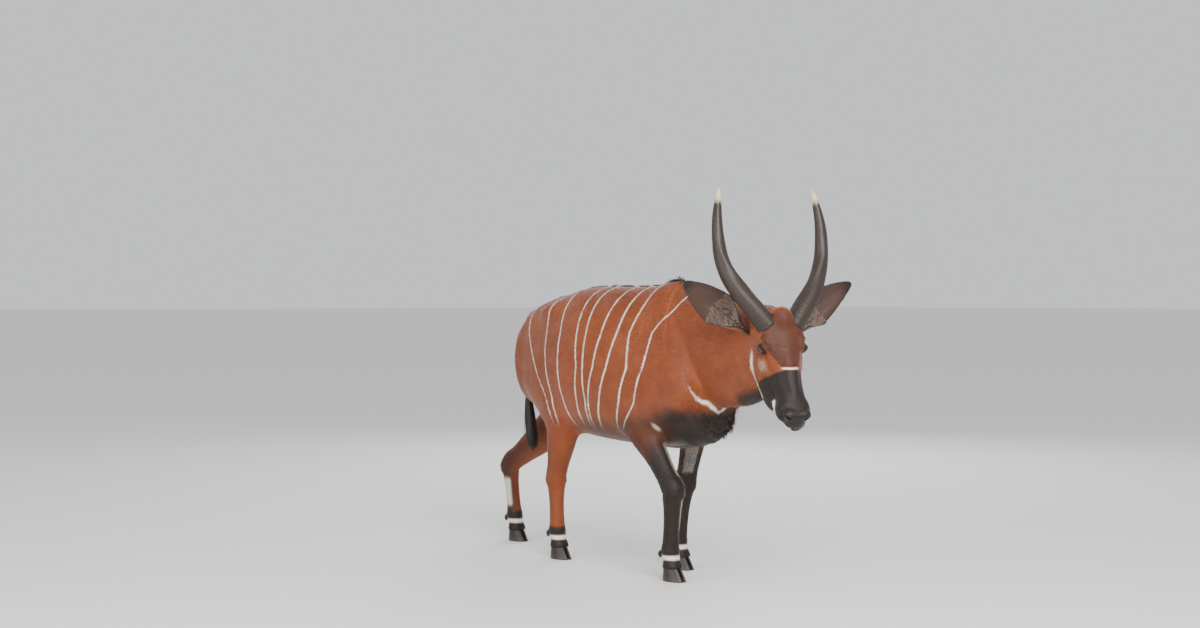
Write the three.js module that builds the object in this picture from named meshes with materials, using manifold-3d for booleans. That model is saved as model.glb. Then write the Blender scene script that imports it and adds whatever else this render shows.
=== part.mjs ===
// A bongo antelope bull at life size, walking with its head low and turned a little to its right.
//
// Millimetres. +X runs along the trunk towards the head, +Y is the animal's left, +Z is up, and the floor is at z = 0.
// While it is being shaped, x = 0 lies over the right forefoot. The end of the file moves the origin under the middle
// of the whole animal.
//
// The flesh is one distance field, which joins swept sections and ellipsoids softly. Each node of flesh is the surface of
// that field over a grid of cells as fine as the node needs, and thin cuts part it from its neighbours.

import * as THREE from "three";
import { mergeVertices } from "three/addons/utils/BufferGeometryUtils.js";
import Module from "manifold-3d";

const wasm = await Module();
wasm.setup();

// Driving dimensions
const withersHeight = 1268;
const croupHeight = 1250;
const bellyHeight = 560;
const barrelHalfWidth = 280;
const neckHalfWidth = 112;
const skullHalfWidth = 90;
const headTop = 50; // the forehead stands this far above the line between the eyes
const muzzleEnd = 318; // from the line between the eyes to the tip of the nose
const eyeRadius = 21;
const eyeForward = THREE.MathUtils.degToRad(32); // how far the eyes look forwards from straight out
const eyePlace = { x: -5, y: 80, z: -2 };
const earHalfWidth = 71;
const hornLength = 600;
const hornRadius = 48;
const hoofHeight = 52;
const tailLength = 625;
const gap = 0.3; // between two nodes that touch

// Where the joints are, for each leg: hip or shoulder side, then down to the hoof
const legs = {
  foreleg_right: { side: -1, elbow: [-152, 664], knee: [44, 388], fetlock: [26, 128], foot: [40, 0], spread: [146, 132, 128] },
  foreleg_left: { side: 1, elbow: [-110, 684], knee: [-162, 374], fetlock: [-190, 128], foot: [-172, 0], spread: [150, 118, 110] },
  hindleg_right: { side: -1, stifle: [-650, 712], hock: [-766, 370], fetlock: [-762, 130], foot: [-742, 0], spread: [158, 134, 130] },
  hindleg_left: { side: 1, stifle: [-1030, 624], hock: [-1395, 372], fetlock: [-1350, 128], foot: [-1326, 0], spread: [134, 58, 54] },
};
const hip = [-920, 1010];
const coronetHeight = hoofHeight + 6;

// The head's own frame: x towards the nose, y to the animal's left, z out of the forehead, origin between the eyes
const headAt = new THREE.Vector3(631, -68, 996);
const headPitch = THREE.MathUtils.degToRad(56);
const headTurn = THREE.MathUtils.degToRad(-23);
const headFrame = new THREE.Matrix4()
  .makeTranslation(headAt.x, headAt.y, headAt.z)
  .multiply(new THREE.Matrix4().makeRotationZ(headTurn))
  .multiply(new THREE.Matrix4().makeRotationY(headPitch));
const fromHead = headFrame.clone().invert();

// Small helpers
const clamp = (value, low, high) => Math.min(Math.max(value, low), high);
const lerp = (a, b, t) => a + (b - a) * t;
const softMin = (a, b, reach) => Math.min(a, b) - Math.max(reach - Math.abs(a - b), 0) ** 2 / (4 * reach);
const spread = (low, high, count) => Array.from({ length: count }, (_, i) => lerp(low, high, i / (count - 1)));

// The same numbers each time, from 0 to 1
function seeded(seed) {
  let state = seed;
  return () => {
    state = (state * 1664525 + 1013904223) % 4294967296;
    return state / 4294967296;
  };
}

// A row between rows[i] and rows[i + 1], on a smooth curve through all of them
function rowBetween(rows, i, t) {
  const at = (n) => rows[clamp(n, 0, rows.length - 1)];
  const [a, b, c, d] = [at(i - 1), at(i), at(i + 1), at(i + 2)];
  return b.map((_, n) => {
    const slope = [(c[n] - a[n]) / 2, (d[n] - b[n]) / 2];
    const square = t * t;
    const cube = square * t;
    return (
      (2 * cube - 3 * square + 1) * b[n] +
      (cube - 2 * square + t) * slope[0] +
      (3 * square - 2 * cube) * c[n] +
      (cube - square) * slope[1]
    );
  });
}

const stepsPerRow = 3;

// A body swept along a spine. Each row is [x, y, z, half width, reach above or in front, reach below or behind, corner].
// A corner of 2 makes an ellipse, more is boxier and less is leaner.
function swept(rows, widthwards = [0, 1, 0]) {
  const fine = [];
  for (let i = 0; i < rows.length - 1; i++)
    for (let step = 0; step < stepsPerRow; step++) fine.push(rowBetween(rows, i, step / stepsPerRow));
  fine.push(rows[rows.length - 1]);
  const side = new THREE.Vector3(...widthwards);
  const points = fine.map((row) => new THREE.Vector3(row[0], row[1], row[2]));
  const frames = points.map((point, i) => {
    const tangent = points[Math.min(i + 1, points.length - 1)].clone().sub(points[Math.max(i - 1, 0)]).normalize();
    const up = tangent.clone().cross(side).normalize();
    const across = up.clone().cross(tangent).normalize();
    return { tangent, up, across };
  });
  const reach = Math.max(...fine.map((row) => Math.max(row[3], row[4], row[5])));
  const bounds = new THREE.Box3().setFromPoints(points).expandByScalar(reach);

  const distance = (x, y, z) => {
    let best = Infinity;
    let nearest = 0;
    let share = 0;
    for (let i = 0; i < points.length - 1; i++) {
      const a = points[i];
      const b = points[i + 1];
      const [ux, uy, uz] = [b.x - a.x, b.y - a.y, b.z - a.z];
      const [vx, vy, vz] = [x - a.x, y - a.y, z - a.z];
      const t = clamp((ux * vx + uy * vy + uz * vz) / (ux * ux + uy * uy + uz * uz), 0, 1);
      const away = (vx - t * ux) ** 2 + (vy - t * uy) ** 2 + (vz - t * uz) ** 2;
      if (away < best) {
        best = away;
        nearest = i;
        share = t;
      }
    }
    const a = fine[nearest];
    const b = fine[nearest + 1];
    const from = frames[nearest];
    const to = frames[nearest + 1];
    const [ex, ey, ez] = [x - lerp(a[0], b[0], share), y - lerp(a[1], b[1], share), z - lerp(a[2], b[2], share)];
    const along = (v, w) =>
      ex * lerp(v.x, w.x, share) + ey * lerp(v.y, w.y, share) + ez * lerp(v.z, w.z, share);
    const across = along(from.across, to.across);
    const up = along(from.up, to.up);
    const past = along(from.tangent, to.tangent);
    const half = lerp(a[3], b[3], share);
    const deep = up > 0 ? lerp(a[4], b[4], share) : lerp(a[5], b[5], share);
    const corner = lerp(a[6], b[6], share);
    const section = (Math.abs(across / half) ** corner + Math.abs(up / deep) ** corner) ** (1 / corner);
    const ratio = Math.hypot(section, past / (0.5 * (half + deep)));
    const length = Math.hypot(ex, ey, ez);
    return ratio < 1e-6 ? -half : length - length / ratio;
  };
  return { distance, bounds };
}

// An ellipsoid, turned about +Y by tilt and about +Z by turn
function lump(centre, radii, tilt = 0, turn = 0) {
  const into = new THREE.Matrix4()
    .makeTranslation(...centre)
    .multiply(new THREE.Matrix4().makeRotationZ(turn))
    .multiply(new THREE.Matrix4().makeRotationY(tilt))
    .invert();
  const m = into.elements;
  const bounds = new THREE.Box3()
    .setFromCenterAndSize(new THREE.Vector3(...centre), new THREE.Vector3())
    .expandByScalar(Math.max(...radii));
  const distance = (x, y, z) => {
    const u = m[0] * x + m[4] * y + m[8] * z + m[12];
    const v = m[1] * x + m[5] * y + m[9] * z + m[13];
    const w = m[2] * x + m[6] * y + m[10] * z + m[14];
    const ratio = Math.hypot(u / radii[0], v / radii[1], w / radii[2]);
    const length = Math.hypot(u, v, w);
    return ratio < 1e-6 ? -Math.min(...radii) : length - length / ratio;
  };
  return { distance, bounds };
}

const farAway = 400;
const margin = 90; // a shape further off than this changes nothing

// Joins shapes softly, in order. Each is { shape, soft, cut }, where a cut is taken away.
function flesh(...layers) {
  const boxes = layers.map(({ shape }) => shape.bounds.clone().expandByScalar(margin));
  const distance = (x, y, z) => {
    let d = farAway;
    layers.forEach(({ shape, soft, cut }, i) => {
      const { min, max } = boxes[i];
      if (x < min.x || y < min.y || z < min.z || x > max.x || y > max.y || z > max.z) return;
      const there = shape.distance(x, y, z);
      d = cut ? -softMin(-d, there, soft) : softMin(d, there, soft);
    });
    return d;
  };
  const bounds = layers.reduce((box, { shape }) => box.union(shape.bounds), new THREE.Box3());
  return { distance, bounds };
}

const both = (make) => [1, -1].map(make);

// Trunk: each row is [x, half width, height of the back, height of the belly, height where it is widest, corner]
function trunk() {
  const outline = [
    [-1120, 58, 1080, 900, 1000, 2],
    [-1050, 116, 1160, 790, 985, 2],
    [-920, 184, 1222, 676, 950, 2.1],
    [-780, 234, croupHeight, 612, 905, 2.1],
    [-630, 268, croupHeight + 4, 576, 875, 2.1],
    [-470, barrelHalfWidth, croupHeight + 2, bellyHeight, 860, 2.1],
    [-310, 272, croupHeight, bellyHeight - 8, 855, 2.05],
    [-170, 246, croupHeight + 4, bellyHeight - 12, 855, 1.95],
    [-50, 210, withersHeight - 2, bellyHeight - 12, 860, 1.85],
    [70, 170, 1240, bellyHeight + 12, 872, 1.85],
    [140, 122, 1160, 646, 896, 2],
    [200, 74, 1050, 748, 900, 2],
  ];
  return swept(outline.map(([x, half, back, belly, mid, corner]) => [x, 0, mid, half, back - mid, mid - belly, corner]));
}

const neckSpine = [
  [-60, 0, 1010, neckHalfWidth + 30, 246, 250, 2],
  [120, 0, 996, neckHalfWidth + 36, 232, 236, 2.1],
  [280, -4, 1004, neckHalfWidth + 8, 196, 262, 2],
  [410, -12, 1030, neckHalfWidth - 8, 150, 252, 2],
  [510, -26, 1050, neckHalfWidth - 20, 112, 184, 2],
  [575, -44, 1036, neckHalfWidth - 32, 88, 116, 2],
];

function shoulder(side) {
  const blade = swept([
    [-78, 84 * side, 1176, 30, 52, 62, 2],
    [-18, 128 * side, 1030, 42, 84, 96, 2],
    [58, 148 * side, 900, 50, 92, 104, 2],
    [112, 146 * side, 800, 52, 74, 84, 2],
  ]);
  const arm = swept([
    [112, 144 * side, 806, 54, 66, 74, 2],
    [22, 146 * side, 742, 60, 66, 92, 2],
    [-66, 146 * side, 704, 56, 58, 84, 2],
  ]);
  const triceps = lump([-66, 152 * side, 812], [104, 52, 128], 0.35);
  const breast = lump([86, 46 * side, 698], [68, 62, 102], 0.3);
  return [
    { shape: blade, soft: 46 },
    { shape: arm, soft: 52 },
    { shape: triceps, soft: 46 },
    { shape: breast, soft: 50 },
  ];
}

// Sections down a lower leg, from the knee or hock: [share of the way to the fetlock, half width, front, back]
const cannonSections = [
  [0.14, 41, 44, 47],
  [0.32, 34, 37, 42],
  [0.6, 31, 34, 39],
  [0.86, 33, 35, 40],
];

function lowerLeg({ side, knee, hock, fetlock, foot, spread: out }) {
  const top = knee ?? hock;
  const cannon = cannonSections.map(([share, half, front, back]) => [
    lerp(top[0], fetlock[0], share),
    lerp(out[1], out[2], share) * side,
    lerp(top[1], fetlock[1], share),
    half,
    front,
    back,
    2,
  ]);
  const joint = [fetlock[0], out[2] * side, fetlock[1], 38, 38, 45, 2];
  const slant = foot[0] - fetlock[0];
  const pastern = [fetlock[0] + 0.36 * slant, out[2] * side, 92, 35, 33, 34, 2.2];
  const coronet = [fetlock[0] + 0.62 * slant, out[2] * side, coronetHeight, 42, 42, 38, 2.3];
  const end = [fetlock[0] + 0.9 * slant, out[2] * side, 20, 40, 42, 36, 2.3];
  return [...cannon, joint, pastern, coronet, end];
}

function foreleg(leg) {
  const { side, elbow, knee, spread: out } = leg;
  const forearm = [
    [-0.06, 60, 62, 96],
    [0.22, 56, 63, 82],
    [0.5, 49, 57, 56],
    [0.78, 44, 50, 44],
  ].map(([share, half, front, back]) => [
    lerp(elbow[0], knee[0], share),
    lerp(out[0], out[1], share) * side,
    lerp(elbow[1], knee[1], share),
    half,
    front,
    back,
    2,
  ]);
  const kneeRow = [knee[0], out[1] * side, knee[1], 48, 53, 46, 2.3];
  const point = lump([elbow[0] - 62, out[0] * side, elbow[1] + 8], [34, 30, 42]);
  return [
    { shape: point, soft: 40 },
    { shape: swept([...forearm, kneeRow, ...lowerLeg(leg)]), soft: 44 },
    { shape: dewClaws(leg), soft: 10 },
  ];
}

function hindleg(leg) {
  const { side, stifle, hock, spread: out } = leg;
  const thigh = swept([
    [hip[0], 84 * side, hip[1] + 40, 84, 120, 150, 2],
    [lerp(hip[0], stifle[0], 0.42), 126 * side, lerp(hip[1], stifle[1], 0.42), 96, 158, 182, 2.1],
    [lerp(hip[0], stifle[0], 0.86) - 26, 146 * side, lerp(hip[1], stifle[1], 0.86), 86, 108, 156, 2],
  ]);
  const gaskin = [
    [0, 78, 90, 116],
    [0.24, 70, 86, 108],
    [0.5, 59, 71, 86],
    [0.76, 47, 54, 64],
    [0.92, 42, 49, 56],
  ].map(([share, half, front, back]) => [
    lerp(stifle[0], hock[0], share),
    lerp(out[0], out[1], share) * side,
    lerp(stifle[1], hock[1], share),
    half,
    front,
    back,
    2,
  ]);
  const hockRow = [hock[0], out[1] * side, hock[1] - 10, 44, 51, 54, 2.3];
  const lean = Math.atan2(stifle[0] - hock[0], stifle[1] - hock[1]);
  const [upward, behind] = [24, 34];
  const heel = lump(
    [
      hock[0] + upward * Math.sin(lean) - behind * Math.cos(lean),
      out[1] * side,
      hock[1] + upward * Math.cos(lean) + behind * Math.sin(lean),
    ],
    [19, 17, 50],
    lean,
  );
  const seat = lump([-1000, 92 * side, 890], [92, 84, 176], -0.1);
  return [
    { shape: thigh, soft: 56 },
    { shape: seat, soft: 56 },
    { shape: swept([...gaskin, hockRow, ...lowerLeg(leg)]), soft: 50 },
    { shape: heel, soft: 26 },
    { shape: dewClaws(leg), soft: 10 },
  ];
}

// Two small claws that stand out behind the fetlock
function dewClaws({ side, fetlock, spread: out }) {
  const claws = both((s) => ({
    shape: lump([fetlock[0] - 42, out[2] * side + 19 * s, fetlock[1] - 16], [13, 11, 17], 0.5),
    soft: 6,
  }));
  return flesh(...claws);
}

// The head, in its own frame
function headFlesh() {
  const outline = [
    [-128, 58, 16, -92, 1.9],
    [-92, 78, 40, -130, 2],
    [-40, skullHalfWidth, headTop + 2, -160, 2.1],
    [16, 84, headTop - 2, -176, 2.1],
    [72, 72, headTop - 12, -177, 2.1],
    [136, 63, headTop - 25, -162, 2.1],
    [196, 58, headTop - 36, -134, 2.2],
    [246, 60, headTop - 44, -110, 2.3],
    [284, 56, headTop - 54, -100, 2.3],
    [muzzleEnd - 20, 44, headTop - 66, -92, 2.2],
  ];
  const skull = swept(
    outline.map(([x, half, top, under, corner]) => {
      const mid = lerp(under, top, 0.56);
      return [x, 0, mid, half, top - mid, mid - under, corner];
    }),
  );
  const layers = [{ shape: skull, soft: 10 }];
  for (const s of [1, -1])
    layers.push(
      { shape: lump([-18, 74 * s, 7], [44, 29, 36], 0, 0.12 * s), soft: 26 }, // brow and orbit
      { shape: lump([36, 62 * s, -42], [74, 26, 26], 0, -0.16 * s), soft: 26 }, // cheek bone
      { shape: lump([14, 57 * s, -116], [86, 35, 58], -0.2), soft: 34 }, // jaw muscle
      { shape: lump([106, 49 * s, -124], [118, 30, 42], -0.2), soft: 24 }, // lower jaw
      { shape: lump([-84, 52 * s, 34], [36, 36, 30]), soft: 30 }, // root of the horn
      { shape: lump([-104, 72 * s, -22], [28, 28, 34]), soft: 24 }, // root of the ear
      { shape: lump([256, 36 * s, -48], [44, 32, 38], 0.12), soft: 18 }, // upper lip
      { shape: lump([292, 32 * s, -18], [22, 24, 19]), soft: 12 }, // rim of the nostril
      { shape: lump([150, 52 * s, -82], [90, 14, 18], 0.1), soft: 20 }, // cheek above the mouth
    );
  layers.push(
    { shape: lump([-106, 0, 62], [48, 44, 42]), soft: 26 }, // crown between the horns
    { shape: lump([298, 0, -28], [19, 38, 26]), soft: 14 }, // bare nose
    { shape: lump([248, 0, -94], [42, 42, 20], 0.16), soft: 12 }, // lower lip and chin
    { shape: lump([132, 0, 20], [110, 22, 12], 0.19), soft: 22 }, // ridge of the nose
  );
  for (const s of [1, -1]) {
    layers.push({ shape: lump([42, 94 * s, -10], [26, 14, 16], 0, -0.2 * s), soft: 14, cut: true }); // before the eye
    layers.push({ shape: lump([124, 84 * s, -26], [80, 20, 22], 0.1), soft: 22, cut: true }); // side of the nose
  }
  return flesh(...layers);
}

const head = headFlesh();
const headInPlace = {
  bounds: head.bounds.clone().applyMatrix4(headFrame),
  distance: (x, y, z) => {
    const m = fromHead.elements;
    return head.distance(
      m[0] * x + m[4] * y + m[8] * z + m[12],
      m[1] * x + m[5] * y + m[9] * z + m[13],
      m[2] * x + m[6] * y + m[10] * z + m[14],
    );
  },
};

const limbs = Object.fromEntries(
  Object.entries(legs).map(([name, leg]) => [name, leg.knee ? [...shoulder(leg.side), ...foreleg(leg)] : hindleg(leg)]),
);

const core = [
  { shape: trunk(), soft: 10 },
  { shape: swept(neckSpine), soft: 50 },
];
const pointsOfHip = both((s) => ({ shape: lump([-750, 140 * s, 1124], [80, 44, 40], 0.1), soft: 80 }));

// The flesh that a node is cut from: the core, with only the limbs that the node touches
const fleshWith = (...names) => flesh(...core, ...pointsOfHip, ...names.flatMap((name) => limbs[name]));

// Meshes

// A closed solid from points [x, y, z] and triangles of their indices
function solidFrom(points, triangles) {
  const vertProperties = new Float32Array(points.flat());
  return new wasm.Manifold(new wasm.Mesh({ numProp: 3, vertProperties, triVerts: new Uint32Array(triangles.flat()) }));
}

// A closed solid from a three.js geometry
function solidOf(geometry, matrix = new THREE.Matrix4()) {
  const bare = geometry.clone().applyMatrix4(matrix);
  bare.deleteAttribute("normal");
  bare.deleteAttribute("uv");
  const merged = mergeVertices(bare, 1e-3);
  return new wasm.Manifold(
    new wasm.Mesh({
      numProp: 3,
      vertProperties: merged.attributes.position.array,
      triVerts: new Uint32Array(merged.index.array),
    }),
  );
}

// The three.js geometry of a solid
function geometryOf(solid) {
  const { numProp, numVert, vertProperties, triVerts } = solid.getMesh();
  const positions = new Float32Array(numVert * 3);
  for (let i = 0; i < numVert; i++) positions.set(vertProperties.subarray(i * numProp, i * numProp + 3), i * 3);
  const geometry = new THREE.BufferGeometry();
  geometry.setAttribute("position", new THREE.BufferAttribute(positions, 3));
  geometry.setIndex(new THREE.BufferAttribute(triVerts, 1));
  geometry.computeVertexNormals();
  return geometry;
}

const largest = (solid) => solid.decompose().reduce((best, piece) => (piece.volume() > best.volume() ? piece : best));

// The twelve edges of a cell: an edge along one axis, at one of four places across it
const edgeId = (axis, b, c) => axis * 4 + b + 2 * c;
const cornerAt = (axis, a, b, c) => (a << axis) | (b << (axis + 1) % 3) | (c << (axis + 2) % 3);

// Which pieces of surface a cell holds, as a piece number for each of its edges, or -1 where the surface doesn't cross
function piecesInCell(inside) {
  const group = Array(12).fill(-1);
  for (let axis = 0; axis < 3; axis++)
    for (const b of [0, 1])
      for (const c of [0, 1])
        if (inside[cornerAt(axis, 0, b, c)] !== inside[cornerAt(axis, 1, b, c)]) {
          const id = edgeId(axis, b, c);
          group[id] = id;
        }
  const join = (p, q) => {
    const [from, to] = [group[p], group[q]];
    group.forEach((g, i) => {
      if (g === from) group[i] = to;
    });
  };
  for (let axis = 0; axis < 3; axis++)
    for (const a of [0, 1]) {
      const [along, over] = [(axis + 1) % 3, (axis + 2) % 3];
      // the face's edges, round it: along the first axis at 0 and 1 of the second, and the other way
      const edges = [edgeId(along, 0, a), edgeId(along, 1, a), edgeId(over, a, 0), edgeId(over, a, 1)];
      const crossed = edges.filter((id) => group[id] >= 0);
      if (crossed.length === 2) join(crossed[0], crossed[1]);
      if (crossed.length === 4) {
        const firstInside = inside[cornerAt(axis, a, 0, 0)];
        join(edges[0], firstInside ? edges[2] : edges[3]);
        join(edges[1], firstInside ? edges[3] : edges[2]);
      }
    }
  return group;
}

// Places from low to high, about one cell apart. A cell that is a pair grows from its first size to its second.
function ticks(low, high, cell) {
  const [first, last] = Array.isArray(cell) ? cell : [cell, cell];
  const count = Math.max(2, Math.round((2 * (high - low)) / (first + last)));
  const grow = (last - first) / (first + last);
  return spread(0, 1, count + 1).map((t) => low + (high - low) * (t - grow * t * (1 - t)));
}

// The surface of a field inside a box, as a closed solid. The box is divided into cells of about the size that is asked
// for. Each piece of surface in a cell gives one point, which is moved onto the surface but stays in its cell.
function surface({ distance }, box, cell, frame = new THREE.Matrix4()) {
  const grid = [0, 1, 2].map((n) => ticks(box.min.getComponent(n), box.max.getComponent(n), cell[n]));
  const count = grid.map((line) => line.length - 1);
  const stride = [1, count[0] + 1, (count[0] + 1) * (count[1] + 1)];
  const values = new Float32Array((count[0] + 1) * (count[1] + 1) * (count[2] + 1));
  const place = (at) => at.map((n, axis) => grid[axis][n]);
  const eachOf = (limit, visit) => {
    for (let k = 0; k < limit[2]; k++)
      for (let j = 0; j < limit[1]; j++)
        for (let i = 0; i < limit[0]; i++) visit([i, j, k], i + stride[1] * j + stride[2] * k);
  };
  const nodes = count.map((n) => n + 1);

  eachOf(nodes, (at, base) => {
    const value = distance(...place(at));
    const atEdge = at.some((n, axis) => n === 0 || n === count[axis]);
    values[base] = atEdge ? Math.max(value, 1) : value;
  });

  const points = [];
  const pointOf = new Map();
  eachOf(count, (at, base) => {
    const corners = Array.from(
      { length: 8 },
      (_, n) => values[base + (n & 1) + ((n >> 1) & 1) * stride[1] + (n >> 2) * stride[2]],
    );
    const inside = corners.map((value) => value < 0);
    if (inside.every((flag) => flag === inside[0])) return;
    const corner = place(at);
    const step = place(at.map((n) => n + 1)).map((value, axis) => value - corner[axis]);
    const group = piecesInCell(inside);
    for (const piece of new Set(group.filter((g) => g >= 0))) {
      const crossings = [];
      for (let axis = 0; axis < 3; axis++)
        for (const b of [0, 1])
          for (const c of [0, 1]) {
            if (group[edgeId(axis, b, c)] !== piece) continue;
            const start = corners[cornerAt(axis, 0, b, c)];
            const end = corners[cornerAt(axis, 1, b, c)];
            const crossing = [0, 0, 0];
            crossing[axis] = start / (start - end);
            crossing[(axis + 1) % 3] = b;
            crossing[(axis + 2) % 3] = c;
            crossings.push(crossing);
          }
      const mean = [0, 1, 2].map((n) => crossings.reduce((sum, crossing) => sum + crossing[n], 0) / crossings.length);
      group.forEach((g, id) => {
        if (g === piece) pointOf.set(base * 12 + id, points.length);
      });
      points.push(onSurface(distance, corner, step, mean));
    }
  });

  const triangles = [];
  const off = (p, q) => Math.abs(distance(...points[p].map((value, n) => (value + points[q][n]) / 2)));
  eachOf(nodes, (at, base) => {
    for (let axis = 0; axis < 3; axis++) {
      const [second, third] = [(axis + 1) % 3, (axis + 2) % 3];
      if (at[axis] === count[axis] || !at[second] || !at[third]) continue;
      const start = values[base] < 0;
      if (start === values[base + stride[axis]] < 0) continue;
      const around = [
        [1, 1],
        [0, 1],
        [0, 0],
        [1, 0],
      ].map(([b, c]) => pointOf.get((base - b * stride[second] - c * stride[third]) * 12 + edgeId(axis, b, c)));
      if (!start) around.reverse();
      const [p, q, r, t] = around;
      triangles.push(...(off(p, r) < off(q, t) ? [[p, q, r], [p, r, t]] : [[p, q, t], [q, r, t]]));
    }
  });
  const placed = points.map((point) => new THREE.Vector3(...point).applyMatrix4(frame).toArray());
  return solidFrom(placed, triangles);
}

// Moves a point of a cell onto the surface, along the slope of the field, without leaving the cell
function onSurface(distance, corner, step, local) {
  const share = [...local];
  const probe = 0.4;
  const rim = 0.04;
  for (let turn = 0; turn < 4; turn++) {
    const point = share.map((value, n) => corner[n] + value * step[n]);
    const here = distance(...point);
    const slope = [0, 1, 2].map((n) => {
      const next = [...point];
      next[n] += probe;
      return (distance(...next) - here) / probe;
    });
    const steep = Math.max(slope[0] ** 2 + slope[1] ** 2 + slope[2] ** 2, 0.2);
    share.forEach((value, n) => (share[n] = clamp(value - (here * slope[n]) / steep / step[n], rim, 1 - rim)));
  }
  return share.map((value, n) => corner[n] + value * step[n]);
}

// A box whose face lies on a plane: the plane passes through a point, and the box fills the side that it faces
const cutSize = 1600;
function halfSpace(point, normal, back = 0) {
  const facing = new THREE.Vector3(...normal).normalize();
  const turn = new THREE.Quaternion().setFromUnitVectors(new THREE.Vector3(0, 0, 1), facing);
  const centre = new THREE.Vector3(...point).addScaledVector(facing, cutSize / 2 + back);
  const matrix = new THREE.Matrix4().compose(centre, turn, new THREE.Vector3(1, 1, 1));
  return solidOf(new THREE.BoxGeometry(cutSize, cutSize, cutSize), matrix);
}

// A cutter that parts a limb from the trunk: the limb's outline from the side, from near the middle outwards
function limbCutter({ front, back, top, round, inner, side }, grow) {
  const shape = new THREE.Shape();
  const lower = -100;
  shape.moveTo(back - grow, lower);
  shape.lineTo(front + grow, lower);
  shape.lineTo(front + grow, top - round);
  shape.absarc(front - round, top - round, round + grow, 0, Math.PI / 2, false);
  shape.lineTo(back + round, top + grow);
  shape.absarc(back + round, top - round, round + grow, Math.PI / 2, Math.PI, false);
  const depth = 500;
  const geometry = new THREE.ExtrudeGeometry(shape, { depth, bevelEnabled: false, curveSegments: 6 });
  // the outline's plane becomes x and z, and its depth becomes y
  const stand = new THREE.Matrix4().makeRotationX(Math.PI / 2);
  const start = side > 0 ? inner - grow + depth : -inner + grow;
  return solidOf(geometry, new THREE.Matrix4().makeTranslation(0, start, 0).multiply(stand));
}

const cutters = {
  foreleg_right: { front: 176, back: -196, top: 830, round: 120, inner: 86, side: -1 },
  foreleg_left: { front: 176, back: -196, top: 830, round: 120, inner: 86, side: 1 },
  hindleg_right: { front: -500, back: -1400, top: 1030, round: 210, inner: 40, side: -1 },
  hindleg_left: { front: -650, back: -1560, top: 1030, round: 210, inner: 40, side: 1 },
};

const neckCut = { point: [150, 0, 1000], normal: [0.93, 0, 0.37] };
const headCut = {
  point: new THREE.Vector3(-142, 0, -60).applyMatrix4(headFrame).toArray(),
  normal: new THREE.Vector3(-0.93, 0, -0.37).transformDirection(headFrame).toArray(),
};
const turned = (normal) => normal.map((value) => -value);
const boxOf = (low, high) => new THREE.Box3(new THREE.Vector3(...low), new THREE.Vector3(...high));

// A flat tapered lock: it leaves its root along one direction and bends towards another
function lock({ root, out, towards, length, width, thick, across }) {
  const rings = 3;
  const points = [];
  const start = new THREE.Vector3(...root);
  const first = new THREE.Vector3(...out).normalize();
  const last = new THREE.Vector3(...towards).normalize();
  const place = start.clone();
  for (let ring = 0; ring < rings; ring++) {
    const share = ring / rings;
    const direction = first.clone().lerp(last, share).normalize();
    const side = new THREE.Vector3(...across).addScaledVector(direction, -direction.dot(new THREE.Vector3(...across)));
    side.normalize();
    const flat = direction.clone().cross(side);
    const half = (width / 2) * (1 - 0.82 * share ** 1.6);
    const deep = (thick / 2) * (1 - 0.6 * share);
    for (const [a, b] of [
      [1, 0],
      [0, 1],
      [-1, 0],
      [0, -1],
    ])
      points.push(place.clone().addScaledVector(side, a * half).addScaledVector(flat, b * deep).toArray());
    place.addScaledVector(direction, length / rings);
  }
  points.push(place.toArray());
  const triangles = [
    [0, 2, 1],
    [0, 3, 2],
  ];
  for (let ring = 0; ring < rings - 1; ring++)
    for (let n = 0; n < 4; n++) {
      const [a, b] = [ring * 4 + n, ring * 4 + ((n + 1) % 4)];
      triangles.push([a, b, b + 4], [a, b + 4, a + 4]);
    }
  for (let n = 0; n < 4; n++) {
    const [a, b] = [(rings - 1) * 4 + n, (rings - 1) * 4 + ((n + 1) % 4)];
    triangles.push([a, b, rings * 4]);
  }
  return solidFrom(points, triangles);
}

// The height of a field's surface over a point of the middle line
function heightAt(distance, x) {
  const fall = 2;
  let z = 1400;
  while (distance(x, 0, z) > 0) z -= fall;
  return z;
}

// The short crest of stiff hair along the spine, as locks that lie back over one another and follow the topline
const crestPitch = 60;
function crest(distance, from, to, height, seed) {
  const random = seeded(seed);
  const count = Math.round((to - from) / crestPitch);
  return spread(from, to, count).map((x) => {
    const z = heightAt(distance, x);
    const rise = (heightAt(distance, x + crestPitch) - heightAt(distance, x - crestPitch)) / (2 * crestPitch);
    const back = new THREE.Vector3(-1, 0, -rise).normalize();
    const up = new THREE.Vector3(-rise, 0, 1).normalize();
    const lean = (lift, sway) =>
      back.clone().addScaledVector(up, lift).add(new THREE.Vector3(0, sway, 0)).toArray();
    return lock({
      root: [x, (random() - 0.5) * 6, z - 12],
      out: lean(0.5, (random() - 0.5) * 0.2),
      towards: lean(-0.1, (random() - 0.5) * 0.3),
      length: height * (2.9 + 0.6 * random()) + 12,
      width: 58,
      thick: 19,
      across: [1, 0, 0.3],
    });
  });
}

function torsoSolid() {
  const field = fleshWith(...Object.keys(legs));
  const box = boxOf([-1150, -330, 500], [330, 330, 1310]);
  let solid = surface(field, box, [[100, 74], 66, 62]);
  for (const cutter of Object.values(cutters)) solid = solid.subtract(limbCutter(cutter, 0));
  const mane = crest(field.distance, -1040, 60, 22, 7);
  return largest(
    wasm.Manifold.union([solid, ...mane])
      .subtract(halfSpace(neckCut.point, neckCut.normal, -gap))
      .subtract(tailStem(gap)),
  );
}

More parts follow.
